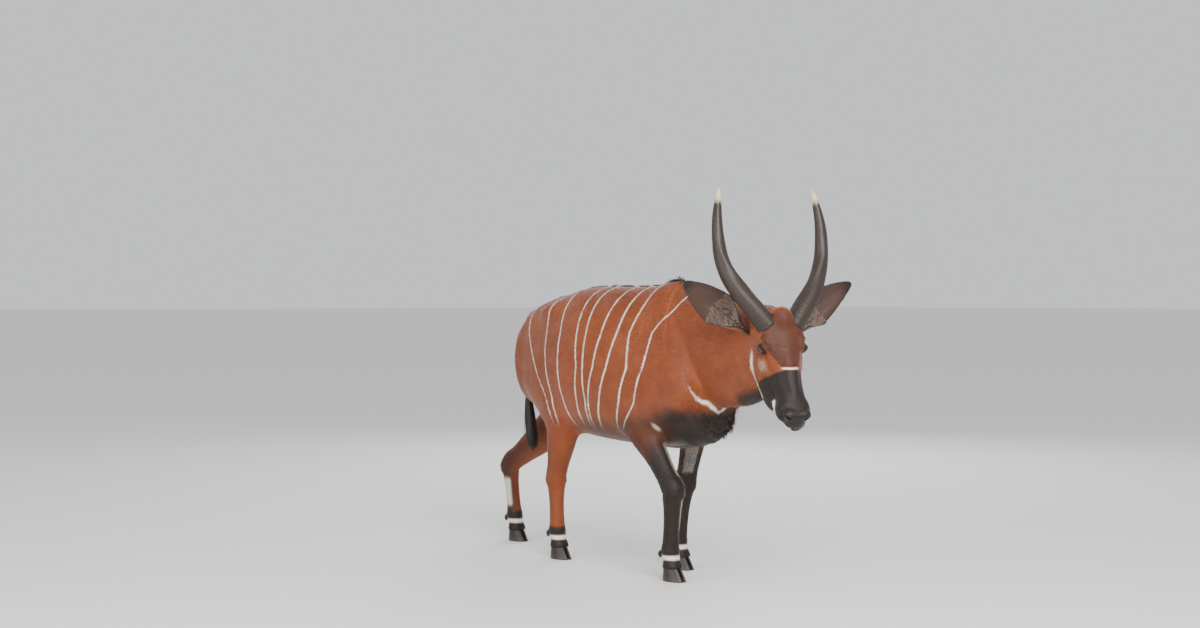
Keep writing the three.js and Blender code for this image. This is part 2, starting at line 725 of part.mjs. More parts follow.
function neckSolid() {
  const field = flesh(...core, ...shoulder(1), ...shoulder(-1), { shape: headInPlace, soft: 46 });
  const box = boxOf([20, -260, 560], [760, 240, 1290]);
  const mane = crest(field.distance, 140, 470, 20, 11);
  return largest(
    wasm.Manifold.union([surface(field, box, [50, 46, 46]), ...mane])
      .subtract(halfSpace(neckCut.point, turned(neckCut.normal)))
      .subtract(halfSpace(headCut.point, turned(headCut.normal))),
  );
}

// Limbs, each in three lengths: shoulder or thigh, forearm or gaskin, and cannon
const upperEnd = { foreleg: 528, hindleg: 534 };
const middleEndBelow = { foreleg: 46, hindleg: 62 };

function limbSolids(name) {
  const leg = legs[name];
  const kind = name.split("_")[0];
  const field = fleshWith(name);
  const cutter = cutters[name];
  const joint = leg.knee ?? leg.hock;
  const high = upperEnd[kind];
  const low = joint[1] - middleEndBelow[kind];
  const cut = (height, facing) => halfSpace([joint[0], 0, height], [0, 0, facing], facing > 0 ? -gap : 0);
  const acrossFor = (inner, outer) => [inner * leg.side, outer * leg.side].sort((a, b) => a - b);
  const lengthBetween = (xs, ys, zs, cell) => surface(field, boxOf([xs[0], ys[0], zs[0]], [xs[1], ys[1], zs[1]]), cell);

  const upper = lengthBetween(
    [cutter.back - 40, cutter.front + 60],
    acrossFor(0, 300),
    [high - 60, cutter.top + 60],
    [62, 50, 60],
  )
    .intersect(limbCutter(cutter, -gap))
    .subtract(cut(high, -1));
  const middle = lengthBetween(
    [Math.min(joint[0], leg.foot[0]) - 130, Math.max(joint[0], (leg.elbow ?? leg.stifle)[0]) + 130],
    acrossFor(10, 260),
    [low - 50, high + 50],
    [28, 22, 38],
  )
    .intersect(limbCutter(cutter, -gap))
    .subtract(cut(high, 1))
    .subtract(cut(low, -1));
  const reach = [leg.fetlock[0], joint[0], leg.foot[0]];
  const outs = leg.spread.slice(1);
  const lower = lengthBetween(
    [Math.min(...reach) - 90, Math.max(...reach) + 80],
    acrossFor(Math.min(...outs) - 62, Math.max(...outs) + 62),
    [0, low + 60],
    [17, 17, 36],
  )
    .subtract(cut(low, 1))
    .subtract(cut(coronetHeight, -1));
  return [upper, middle, lower].map(largest);
}

// One toe of a cloven hoof: an outline for each height, with a flat sole, a sloping front and a flat inner side
function toe(leg, which) {
  const { side, fetlock, foot, spread: out } = leg;
  const slant = foot[0] - fetlock[0];
  const points = [];
  const around = 12;
  const levels = [0, 0.08, 1];
  const centreY = out[2] * side;
  for (const level of levels) {
    const height = level * (coronetHeight - gap);
    const sole = 1 - level;
    const wall = level === 0 ? 0.94 : 1;
    const back = fetlock[0] + 0.62 * slant - 34 - 2 * sole;
    const front = fetlock[0] + 0.62 * slant + 38 + 38 * sole;
    const half = (31 + 8 * sole) * wall;
    for (let n = 0; n < around; n++) {
      const angle = (2 * Math.PI * n) / around;
      const along = (Math.cos(angle) + 1) / 2;
      const taper = 1 - 0.42 * along ** 2;
      const x = lerp(back, front, along * wall + (1 - wall) / 2);
      const bow = Math.max(Math.sin(angle), 0) ** 0.8 * half * taper;
      const inner = Math.min(Math.sin(angle), 0) * 2.5;
      points.push([x, centreY + which * (4 + bow + inner + 2.5), height]);
    }
  }
  const bottom = points.length;
  points.push([fetlock[0] + 0.62 * slant + 10, centreY + which * 20, 0]);
  points.push([fetlock[0] + 0.62 * slant, centreY + which * 20, coronetHeight - gap]);
  const triangles = [];
  for (let n = 0; n < around; n++) {
    const next = (n + 1) % around;
    triangles.push([bottom, next, n]);
    for (let level = 0; level < levels.length - 1; level++) {
      const [a, b] = [level * around + n, level * around + next];
      triangles.push([a, b, b + around], [a, b + around, a + around]);
    }
    const top = (levels.length - 1) * around;
    triangles.push([top + n, top + next, bottom + 1]);
  }
  if (which < 0) triangles.forEach((triangle) => triangle.reverse());
  return solidFrom(points, triangles);
}

// A closed tube through rings of points, with a point at each end
function tube(rings, start, end) {
  const around = rings[0].length;
  const points = [...rings.flat(), start, end];
  const [first, last] = [points.length - 2, points.length - 1];
  const triangles = [];
  for (let n = 0; n < around; n++) {
    const next = (n + 1) % around;
    triangles.push([first, next, n]);
    for (let ring = 0; ring < rings.length - 1; ring++) {
      const [a, b] = [ring * around + n, ring * around + next];
      triangles.push([a, b, b + around], [a, b + around, a + around]);
    }
    const top = (rings.length - 1) * around;
    triangles.push([top + n, top + next, last]);
  }
  return solidFrom(points, triangles);
}

// A horn's path, in the head's turned but unpitched frame: forwards, outwards and up from between the eyes
const hornPath = [
  [-22, 52, 84],
  [-40, 97, 146],
  [-66, 150, 214],
  [-99, 191, 286],
  [-121, 215, 360],
  [-137, 223, 440],
  [-152, 222, 520],
  [-184, 204, 650],
];
const levelHead = new THREE.Matrix4()
  .makeTranslation(headAt.x, headAt.y, headAt.z)
  .multiply(new THREE.Matrix4().makeRotationZ(headTurn));

function hornSolid(side) {
  const path = new THREE.CatmullRomCurve3(hornPath.map(([x, y, z]) => new THREE.Vector3(x, y * side, z)));
  const stretch = hornLength / path.getLength();
  const around = 10;
  const sections = 15;
  const rings = [];
  const keelTurns = 0.9;
  const { normals, binormals } = path.computeFrenetFrames(sections, false);
  for (let i = 0; i < sections; i++) {
    const share = i / sections;
    const centre = path.getPointAt(share);
    const radius = hornRadius * stretch * Math.sqrt(1 - share) + 1.5;
    rings.push(
      Array.from({ length: around }, (_, n) => {
        const angle = (2 * Math.PI * n * side) / around;
        const keel = Math.max(Math.cos(angle - side * keelTurns * 2 * Math.PI * share), 0) ** 6;
        const r = radius * (0.93 + 0.2 * keel * (1 - share));
        return centre
          .clone()
          .addScaledVector(normals[i], Math.cos(angle) * r)
          .addScaledVector(binormals[i], Math.sin(angle) * r)
          .applyMatrix4(levelHead)
          .toArray();
      }),
    );
  }
  if (side < 0) rings.forEach((ring) => ring.reverse());
  const start = path.getPointAt(0).applyMatrix4(levelHead).toArray();
  const tip = path.getPointAt(1).applyMatrix4(levelHead).toArray();
  const solid = tube(rings, start, tip);
  return solid.volume() > 0 ? solid : tube(rings.map((ring) => [...ring].reverse()), start, tip);
}

// The ear: a leaf-shaped cup, rolled into a tube at its root. It is drawn along u from root to tip and across v.
const earAxis = new THREE.QuadraticBezierCurve3(
  new THREE.Vector3(-92, 92, 50),
  new THREE.Vector3(-124, 222, 160),
  new THREE.Vector3(-146, 364, 264),
);

function earPoint(side, u, v, offset) {
  const along = earAxis.getTangentAt(u);
  const facing = new THREE.Vector3(0.96, 0.25, 0).addScaledVector(along, -(0.96 * along.x + 0.25 * along.y)).normalize();
  const across = facing.clone().cross(along).normalize();
  const leaf = Math.sin(Math.PI * clamp(u * 0.93 + 0.07, 0, 1) ** 0.86) ** 0.72;
  const half = lerp(18, earHalfWidth, clamp((u - 0.1) / 0.38, 0, 1) ** 1.4) * clamp(leaf, 0.02, 1) + 3;
  const roll = lerp(2.9, 1, clamp((u - 0.2) / 0.32, 0, 1) ** 0.8); // how far round the cup goes, in radians to each edge
  const radius = half / Math.sin(Math.min(roll, Math.PI / 2));
  const angle = v * roll;
  const shift = new THREE.Vector3()
    .addScaledVector(across, Math.sin(angle) * (radius + offset))
    .addScaledVector(facing, -(Math.cos(angle) - Math.cos(roll) * 0.5) * (radius + offset) + radius * 0.2);
  const point = earAxis.getPointAt(u).add(shift);
  point.y *= side;
  return point.applyMatrix4(levelHead).toArray();
}

function earSolid(side) {
  const [alongCount, acrossCount] = [10, 7];
  const thickness = 5;
  const rows = spread(0, 1, alongCount + 1);
  const columns = spread(-1, 1, acrossCount + 1);
  const rings = rows.map((u) => {
    const thin = thickness * (1 - 0.55 * u);
    const outer = columns.map((v) => earPoint(side, u, v, thin / 2));
    const inner = columns.map((v) => earPoint(side, u, v, -thin / 2)).reverse();
    return [...outer, ...inner];
  });
  const solid = earShell(rings, columns.length);
  return solid.volume() > 0 ? solid : earShell(rings.map((ring) => [...ring].reverse()), columns.length);
}

// Closes a stack of thin C-shaped rings: strips along the ring's two faces, and a strip across each end
function earShell(rings, columns) {
  const around = rings[0].length;
  const points = rings.flat();
  const triangles = [];
  for (let ring = 0; ring < rings.length - 1; ring++)
    for (let n = 0; n < around; n++) {
      const next = (n + 1) % around;
      const [a, b] = [ring * around + n, ring * around + next];
      triangles.push([a, b, b + around], [a, b + around, a + around]);
    }
  const top = (rings.length - 1) * around;
  for (let n = 0; n < columns - 1; n++) {
    const [a, b, c, d] = [n, n + 1, around - 2 - n, around - 1 - n];
    triangles.push([a, c, b], [a, d, c]);
    triangles.push([top + a, top + b, top + c], [top + a, top + c, top + d]);
  }
  return solidFrom(points, triangles);
}

const ball = (centre, radius, detail = 2) =>
  solidOf(new THREE.IcosahedronGeometry(radius, detail), new THREE.Matrix4().makeTranslation(...centre));

// The opening between the lids: a pointed oval, pushed out sideways from the eye
function lidOpening(side) {
  const shape = new THREE.Shape();
  const [halfLong, high, low] = [19.5, 28 * side, 26 * side];
  shape.moveTo(halfLong, 3 * side);
  shape.quadraticCurveTo(halfLong * 0.35, -high, -halfLong, -2 * side);
  shape.quadraticCurveTo(-halfLong * 0.15, low, halfLong, 3 * side);
  const geometry = new THREE.ExtrudeGeometry(shape, { depth: 60, bevelEnabled: false, curveSegments: 7 });
  // the outline's x stays, its y becomes the head's z, and its depth goes out to the side and a little forwards
  const stand = new THREE.Matrix4().makeRotationX((-Math.PI / 2) * side);
  const turn = new THREE.Matrix4().makeRotationZ(-eyeForward * side);
  const place = new THREE.Matrix4().makeTranslation(eyePlace.x, eyePlace.y * side, eyePlace.z);
  return solidOf(geometry, place.multiply(turn).multiply(stand));
}

// The line of the mouth: a thin groove that follows the lip from the corner of the mouth round the front
function mouthGroove() {
  const corner = 196;
  const front = muzzleEnd + 30;
  const shape = new THREE.Shape();
  const thick = 4.6;
  const line = [
    [corner, -66],
    [corner + 30, -73],
    [corner + 62, -76],
    [corner + 92, -72],
    [front, -62],
  ];
  line.forEach(([x, z], n) => (n ? shape.lineTo(x, z + thick / 2) : shape.moveTo(x, z + 0.6)));
  [...line].reverse().forEach(([x, z], n) => shape.lineTo(x, z - (n === line.length - 1 ? 0.6 : thick / 2)));
  const width = 160;
  const geometry = new THREE.ExtrudeGeometry(shape, { depth: width, bevelEnabled: false });
  const matrix = new THREE.Matrix4().makeTranslation(0, width / 2, 0).multiply(new THREE.Matrix4().makeRotationX(Math.PI / 2));
  const slot = solidOf(geometry, matrix);
  // the middle of the mouth stays whole: the groove is cut only a little way in
  const inner = new THREE.SphereGeometry(1, 16, 12);
  const core = new THREE.Matrix4().makeTranslation(corner + 26, 0, -70).multiply(new THREE.Matrix4().makeScale(78, 34, 40));
  return slot.subtract(solidOf(inner, core));
}

function nostril(side) {
  const hollow = (centre, turn, radii) =>
    solidOf(
      new THREE.SphereGeometry(1, 10, 7),
      new THREE.Matrix4()
        .makeTranslation(centre[0], centre[1] * side, centre[2])
        .multiply(new THREE.Matrix4().makeRotationZ(turn * side))
        .multiply(new THREE.Matrix4().makeScale(...radii)),
    );
  const front = hollow([muzzleEnd - 8, 30, -24], 0.5, [16, 11, 10]);
  const wing = hollow([muzzleEnd - 20, 46, -14], -0.9, [16, 9, 6]);
  return front.add(wing);
}

// The head in its own frame, with its lids, mouth and nostrils, and the neck's start for the soft joint
function headSolid() {
  const neckInHead = {
    bounds: boxOf([-600, -600, -600], [40, 600, 600]),
    distance: (() => {
      const neck = swept(neckSpine);
      const m = headFrame.elements;
      return (x, y, z) =>
        neck.distance(
          m[0] * x + m[4] * y + m[8] * z + m[12],
          m[1] * x + m[5] * y + m[9] * z + m[13],
          m[2] * x + m[6] * y + m[10] * z + m[14],
        );
    })(),
  };
  const field = flesh({ shape: neckInHead, soft: 10 }, { shape: head, soft: 46 });
  const box = boxOf([-262, -130, -240], [muzzleEnd + 30, 130, 96]);
  let solid = surface(field, box, [[38, 13], 18, 17]);
  for (const s of [1, -1]) {
    const centre = [eyePlace.x, eyePlace.y * s, eyePlace.z];
    solid = solid
      .add(ball(centre, eyeRadius + 3.5))
      .subtract(lidOpening(s))
      .subtract(ball(centre, eyeRadius + gap));
    solid = solid.subtract(nostril(s));
  }
  solid = solid.subtract(mouthGroove());
  return largest(solid.transform(headFrame.elements).subtract(halfSpace(headCut.point, headCut.normal, -gap)));
}

// A solid grown all over, to clear a place for it in a neighbour
function grown(solid, by) {
  const { index, attributes } = geometryOf(solid);
  const { position, normal } = attributes;
  const points = Array.from({ length: position.count }, (_, i) =>
    new THREE.Vector3()
      .fromBufferAttribute(position, i)
      .addScaledVector(new THREE.Vector3().fromBufferAttribute(normal, i), by)
      .toArray(),
  );
  return solidFrom(points, [[...index.array]]);
}

// The tail: a tapering stem that hangs close to the rump and carries a tuft of locks
const tailSpine = [
  [-1096, 0, 1090, 29],
  [-1136, -6, 1040, 26],
  [-1150, -14, 940, 22],
  [-1142, -24, 830, 18],
  [-1120, -32, 730, 15],
  [-1100, -36, 640, 13],
];
const tailPath = new THREE.CatmullRomCurve3(tailSpine.map(([x, y, z]) => new THREE.Vector3(x, y, z)));

function tailStem(grow) {
  const around = 10;
  const sections = 11;
  const rings = spread(0, 1, sections).map((share) => {
    const place = share * (tailSpine.length - 1);
    const index = Math.min(Math.floor(place), tailSpine.length - 2);
    const radius = rowBetween(tailSpine, index, place - index)[3] + grow;
    const tangent = tailPath.getTangent(share);
    const side = new THREE.Vector3(0, 1, 0).addScaledVector(tangent, -tangent.y).normalize();
    const front = tangent.clone().cross(side);
    return spread(0, 2 * Math.PI, around + 1)
      .slice(1)
      .map((angle) =>
        tailPath
          .getPoint(share)
          .addScaledVector(side, Math.cos(angle) * radius)
          .addScaledVector(front, Math.sin(angle) * radius)
          .toArray(),
      );
  });
  const start = tailPath.getPoint(0).addScaledVector(tailPath.getTangent(0), -14 - 2 * grow).toArray();
  const end = tailPath.getPoint(1).addScaledVector(tailPath.getTangent(1), 10).toArray();
  return tube(rings, start, end);
}

const tailSolid = () => largest(wasm.Manifold.union([tailStem(0), ...tailTuft(tailPath)]));

const tuftLocks = 10;

function tailTuft(path) {
  const random = seeded(23);
  const tipHeight = 1090 - tailLength;
  return Array.from({ length: tuftLocks }, (_, n) => {
    const share = 0.74 + (0.24 * n) / tuftLocks;
    const angle = n * 2.4;
    const centre = path.getPoint(share);
    const out = [Math.cos(angle), Math.sin(angle)];
    const length = (centre.z - tipHeight) * (0.82 + 0.18 * random());
    const sway = 0.1 + 0.1 * random();
    return lock({
      root: [centre.x + out[0] * 5, centre.y + out[1] * 5, centre.z + 6],
      out: [out[0] * 0.2, out[1] * 0.2, -1],
      towards: [0.12 - out[0] * sway, 0.12 - out[1] * sway, -1],
      length,
      width: 40,
      thick: 16,
      across: [-out[1], out[0], 0],
    });
  });
}

// Materials
const finish = (color, roughness) => new THREE.MeshStandardMaterial({ color, roughness, metalness: 0 });
const chestnut = finish(0x8f4a22, 0.8);
const darkCoat = finish(0x2c1a12, 0.8);
const hornBlack = finish(0x3a2a20, 0.45);
const hoofBlack = finish(0x1f1a17, 0.5);
const eyeBrown = finish(0x140b07, 0.08);

const model = new THREE.Group();

function addNode(name, solid, material) {
  const mesh = new THREE.Mesh(geometryOf(solid), material);
  mesh.name = name;
  model.add(mesh);
}

const headNode = headSolid();
const headRoom = grown(headNode, gap);
addNode("torso", torsoSolid(), chestnut);
addNode("neck", neckSolid(), chestnut);
addNode("head", headNode, chestnut);
for (const [name, side] of [
  ["left", 1],
  ["right", -1],
]) {
  const eye = ball([eyePlace.x, eyePlace.y * side, eyePlace.z], eyeRadius).transform(headFrame.elements);
  addNode(`eye_${name}`, eye, eyeBrown);
  addNode(`horn_${name}`, largest(hornSolid(side).subtract(headRoom)), hornBlack);
  addNode(`ear_${name}`, largest(earSolid(side).subtract(headRoom)), chestnut);
}
for (const [name, leg] of Object.entries(legs)) {
  const [upper, middle, lower] = limbSolids(name);
  addNode(`${name}_upper`, upper, chestnut);
  addNode(`${name}_middle`, middle, leg.knee ? darkCoat : chestnut);
  addNode(`${name}_lower`, lower, darkCoat);
  for (const [toeName, which] of [
    ["outer", leg.side],
    ["inner", -leg.side],
  ])
    addNode(`hoof_${name}_${toeName}`, toe(leg, which), hoofBlack);
}
addNode("tail", tailSolid(), chestnut);

const middle = new THREE.Box3().setFromObject(model).getCenter(new THREE.Vector3());
model.children.forEach((mesh) => mesh.position.set(-middle.x, -middle.y, 0));

export default model;
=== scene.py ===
"""A life-size bongo antelope bull, walking with a low head, dressed with skin, coat, horns, hooves and eyes.

Shapes are worked out in millimetres in the same frame as the solids' source, in which x = 0 lies over the right
forefoot, and are put in place in metres when a mesh is made. Lengths named below are in millimetres unless said.
"""

from __future__ import annotations

import logging
import math
import sys
from dataclasses import dataclass, field
from enum import Enum
from functools import partial
from itertools import product
from typing import Iterable, Sequence

import bpy
import numpy as np
from bpy.types import Material, Node, NodeSocket, NodeTree, Object
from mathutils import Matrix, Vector

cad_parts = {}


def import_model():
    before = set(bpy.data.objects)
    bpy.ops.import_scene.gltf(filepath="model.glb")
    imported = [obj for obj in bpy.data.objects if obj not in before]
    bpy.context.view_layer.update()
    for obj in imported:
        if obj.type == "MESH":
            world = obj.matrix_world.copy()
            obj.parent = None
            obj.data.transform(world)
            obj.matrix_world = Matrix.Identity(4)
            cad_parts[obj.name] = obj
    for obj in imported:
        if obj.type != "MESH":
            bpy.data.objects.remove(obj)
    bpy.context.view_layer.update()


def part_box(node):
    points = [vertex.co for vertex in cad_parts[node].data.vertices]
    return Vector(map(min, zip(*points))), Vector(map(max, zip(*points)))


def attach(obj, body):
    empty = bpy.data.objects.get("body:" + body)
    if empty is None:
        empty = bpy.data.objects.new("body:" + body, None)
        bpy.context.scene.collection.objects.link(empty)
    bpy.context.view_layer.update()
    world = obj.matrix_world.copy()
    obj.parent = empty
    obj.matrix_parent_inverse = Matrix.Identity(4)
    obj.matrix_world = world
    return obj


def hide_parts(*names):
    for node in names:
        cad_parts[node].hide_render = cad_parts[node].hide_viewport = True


log = logging.getLogger("bongo")

Array = np.ndarray
Random = np.random.Generator
Rows = Sequence[Sequence[float]]
Attributes = dict[str, Array]

METRE = 1000.0
FAR = 400.0  # the distance given where no shape is near
MARGIN = 90.0  # how far round its box a shape is still worked out
STEPS_PER_ROW = 3  # fine rows for each given one
CORNERS = tuple(product((0, 1), repeat=3))
BAKE_MAP = "OFBake"


def linear(code: str) -> tuple[float, float, float, float]:
    """Turns an sRGB hex colour to linear light.

    Args:
        code: six hex digits after a #.

    Returns:
        Red, green, blue and alpha.
    """
    parts = [int(code[i : i + 2], 16) / 255 for i in (1, 3, 5)]
    lin = [c / 12.92 if c <= 0.04045 else ((c + 0.055) / 1.055) ** 2.4 for c in parts]
    return (lin[0], lin[1], lin[2], 1.0)


def ramp(low: float | Array, high: float | Array, value: Array) -> Array:
    """Rises smoothly from 0 at low to 1 at high."""
    t = np.clip((value - low) / (high - low), 0.0, 1.0)
    return t * t * (3 - 2 * t)


def hump(centre: float, width: float, value: Array) -> Array:
    """A bell that is 1 at its centre."""
    return np.exp(-(((value - centre) / width) ** 2))


def soft_min(a: Array, b: Array, reach: float) -> Array:
    """The lesser of two distances, with the corner between them filled."""
    return np.minimum(a, b) - np.maximum(reach - np.abs(a - b), 0.0) ** 2 / (4 * reach)


def unit(vectors: Array) -> Array:
    """Vectors of length 1 along the last axis."""
    return vectors / np.maximum(np.linalg.norm(vectors, axis=-1, keepdims=True), 1e-9)


def across_to(vectors: Array, normals: Array) -> Array:
    """What is left of vectors when their part along the normals is taken off, at length 1."""
    return unit(vectors - np.sum(vectors * normals, axis=-1, keepdims=True) * normals)


def turn_y(angle: float) -> Array:
    """A rotation matrix about +Y."""
    c, s = math.cos(angle), math.sin(angle)
    return np.array([[c, 0, s], [0, 1, 0], [-s, 0, c]])


def turn_z(angle: float) -> Array:
    """A rotation matrix about +Z."""
    c, s = math.cos(angle), math.sin(angle)
    return np.array([[c, -s, 0], [s, c, 0], [0, 0, 1]])


def block(start: Iterable[int], size: Iterable[int]) -> tuple[slice, ...]:
    """The part of a grid that begins at a corner."""
    return tuple(slice(a, a + n) for a, n in zip(start, size))


def add_object(name: str, data: bpy.types.ID) -> Object:
    """Makes an object at the origin and links it to the scene.

    Args:
        name: its name.
        data: its mesh, lamp or camera.

    Returns:
        The object.
    """
    made = bpy.data.objects.new(name, data)
    bpy.context.scene.collection.objects.link(made)
    return made


def add_node(tree: NodeTree, kind: str, inputs: dict[str | int, object], **settings: object) -> Node:
    """Adds one node to a tree.

    Args:
        tree: shader or geometry nodes.
        kind: the node's type.
        inputs: numbers, colours or sockets by the input's name or place.
        **settings: the node's own settings.

    Returns:
        The node.
    """
    node = tree.nodes.new(kind)
    for key, value in settings.items():
        setattr(node, key, value)
    for key, value in inputs.items():
        if isinstance(value, NodeSocket):
            tree.links.new(value, node.inputs[key])
        else:
            node.inputs[key].default_value = value
    return node


def smooth_rows(rows: Rows) -> Array:
    """More rows between the given ones, on a smooth curve through all of them.

    Args:
        rows: equal lists of numbers.

    Returns:
        The fine rows, the last one included.
    """
    r = np.array(rows, float)
    n = len(r)
    fine = []
    for i in range(n - 1):
        a, b, c, d = r[max(i - 1, 0)], r[i], r[i + 1], r[min(i + 2, n - 1)]
        for step in range(STEPS_PER_ROW):
            t = step / STEPS_PER_ROW
            s, q = t * t, t**3
            fine.append(
                (2 * q - 3 * s + 1) * b + (q - 2 * s + t) * (c - a) / 2 + (3 * s - 2 * q) * c + (q - s) * (d - b) / 2
            )
    fine.append(r[-1])
    return np.array(fine)


class Shape:
    """A shape given by a distance that is below 0 inside, with the box that holds it."""

    low: Array
    high: Array

    def distance(self, p: Array) -> Array:
        """How far points are from the surface."""
        raise NotImplementedError


class SweptBody(Shape):
    """A body swept along a spine of rows [x, y, z, half width, reach above, reach below, corner]."""

    def __init__(self, rows: Rows) -> None:
        """Works out the frames along the spine.

        Args:
            rows: the spine with its sections.
        """
        self.fine = smooth_rows(rows)
        self.spine = self.fine[:, :3]
        ahead = np.vstack([self.spine[1:], self.spine[-1:]])
        behind = np.vstack([self.spine[:1], self.spine[:-1]])
        self.tangent = unit(ahead - behind)
        self.up = unit(np.cross(self.tangent, np.array([0.0, 1.0, 0.0])))
        self.across = unit(np.cross(self.up, self.tangent))
        reach = self.fine[:, 3:6].max()
        self.low = self.spine.min(0) - reach
        self.high = self.spine.max(0) + reach

    def distance(self, p: Array) -> Array:
        """How far points are from the surface.

        Args:
            p: points.

        Returns:
            Their distances.
        """
        best = np.full(len(p), np.inf)
        nearest = np.zeros(len(p), int)
        share = np.zeros(len(p))
        for i in range(len(self.spine) - 1):
            u = self.spine[i + 1] - self.spine[i]
            v = p - self.spine[i]
            t = np.clip(v @ u / (u @ u), 0, 1)
            v -= t[:, None] * u
            away = np.einsum("ij,ij->i", v, v)
            closer = away < best
            best = np.where(closer, away, best)
            nearest = np.where(closer, i, nearest)
            share = np.where(closer, t, share)
        s = share[:, None]
        row = self.fine[nearest] * (1 - s) + self.fine[nearest + 1] * s
        off = p - row[:, :3]
        across, up, along = (
            np.einsum("ij,ij->i", off, axis[nearest] * (1 - s) + axis[nearest + 1] * s)
            for axis in (self.across, self.up, self.tangent)
        )
        half, corner = row[:, 3], row[:, 6]
        deep = np.where(up > 0, row[:, 4], row[:, 5])
        section = (np.abs(across / half) ** corner + np.abs(up / deep) ** corner) ** (1 / corner)
        ratio = np.maximum(np.hypot(section, along / (0.5 * (half + deep))), 1e-6)
        length = np.linalg.norm(off, axis=1)
        return np.where(ratio <= 1e-6, -half, length - length / ratio)


class Lump(Shape):
    """An ellipsoid, turned about +Y by tilt and about +Z by turn."""

    def __init__(self, centre: Sequence[float], radii: Sequence[float], tilt: float = 0, turn: float = 0) -> None:
        """Keeps the ellipsoid's place.

        Args:
            centre: its middle.
            radii: its three radii.
            tilt: radians about +Y.
            turn: radians about +Z.
        """
        self.centre = np.array(centre, float)
        self.radii = np.array(radii, float)
        self.axes = turn_z(turn) @ turn_y(tilt)
        self.low = self.centre - self.radii.max()
        self.high = self.centre + self.radii.max()

    def distance(self, p: Array) -> Array:
        """How far points are from the surface.

        Args:
            p: points.

        Returns:
            Their distances.
        """
        q = (p - self.centre) @ self.axes
        ratio = np.maximum(np.linalg.norm(q / self.radii, axis=1), 1e-6)
        length = np.linalg.norm(q, axis=1)
        return np.where(ratio <= 1e-6, -self.radii.min(), length - length / ratio)


@dataclass
class Layer:
    """A shape in a stack of shapes: how softly it joins, or whether it is taken away."""

    shape: Shape
    soft: float
    cut: bool = False


class Flesh(Shape):
    """Shapes joined softly, in order."""

    def __init__(self, layers: Iterable[Layer]) -> None:
        """Keeps the layers.

        Args:
            layers: the shapes from first to last.
        """
        self.layers = list(layers)
        self.low = np.min([layer.shape.low for layer in self.layers], axis=0)
        self.high = np.max([layer.shape.high for layer in self.layers], axis=0)

    def distance(self, p: Array) -> Array:
        """How far points are from the surface.

        Args:
            p: points.

        Returns:
            Their distances.
        """
        d = np.full(len(p), FAR)
        for layer in self.layers:
            near = np.all((p >= layer.shape.low - MARGIN) & (p <= layer.shape.high + MARGIN), axis=1)
            if not near.any():
                continue
            there = layer.shape.distance(p[near])
            here = d[near]
            d[near] = -soft_min(-here, there, layer.soft) if layer.cut else soft_min(here, there, layer.soft)
        return d


@dataclass(frozen=True)
class Frame:
    """A place and a turn: the columns of axes are the local axes."""

    origin: Array
    axes: Array

    def into(self, p: Array) -> Array:
        """Points seen from this frame."""
        return (p - self.origin) @ self.axes

    def out(self, p: Array) -> Array:
        """Local points in the animal's frame."""
        return p @ self.axes.T + self.origin


class Placed(Shape):
    """A shape that stands in another frame."""

    def __init__(self, shape: Shape, frame: Frame) -> None:
        """Keeps the shape and its frame.

        Args:
            shape: the shape in local coordinates.
            frame: where it stands.
        """
        self.shape = shape
        self.frame = frame
        corners = np.array([[x, y, z] for x in (0, 1) for y in (0, 1) for z in (0, 1)], float)
        corners = frame.out(shape.low + corners * (shape.high - shape.low))
        self.low, self.high = corners.min(0), corners.max(0)

    def distance(self, p: Array) -> Array:
        """How far points are from the surface."""
        return self.shape.distance(self.frame.into(p))


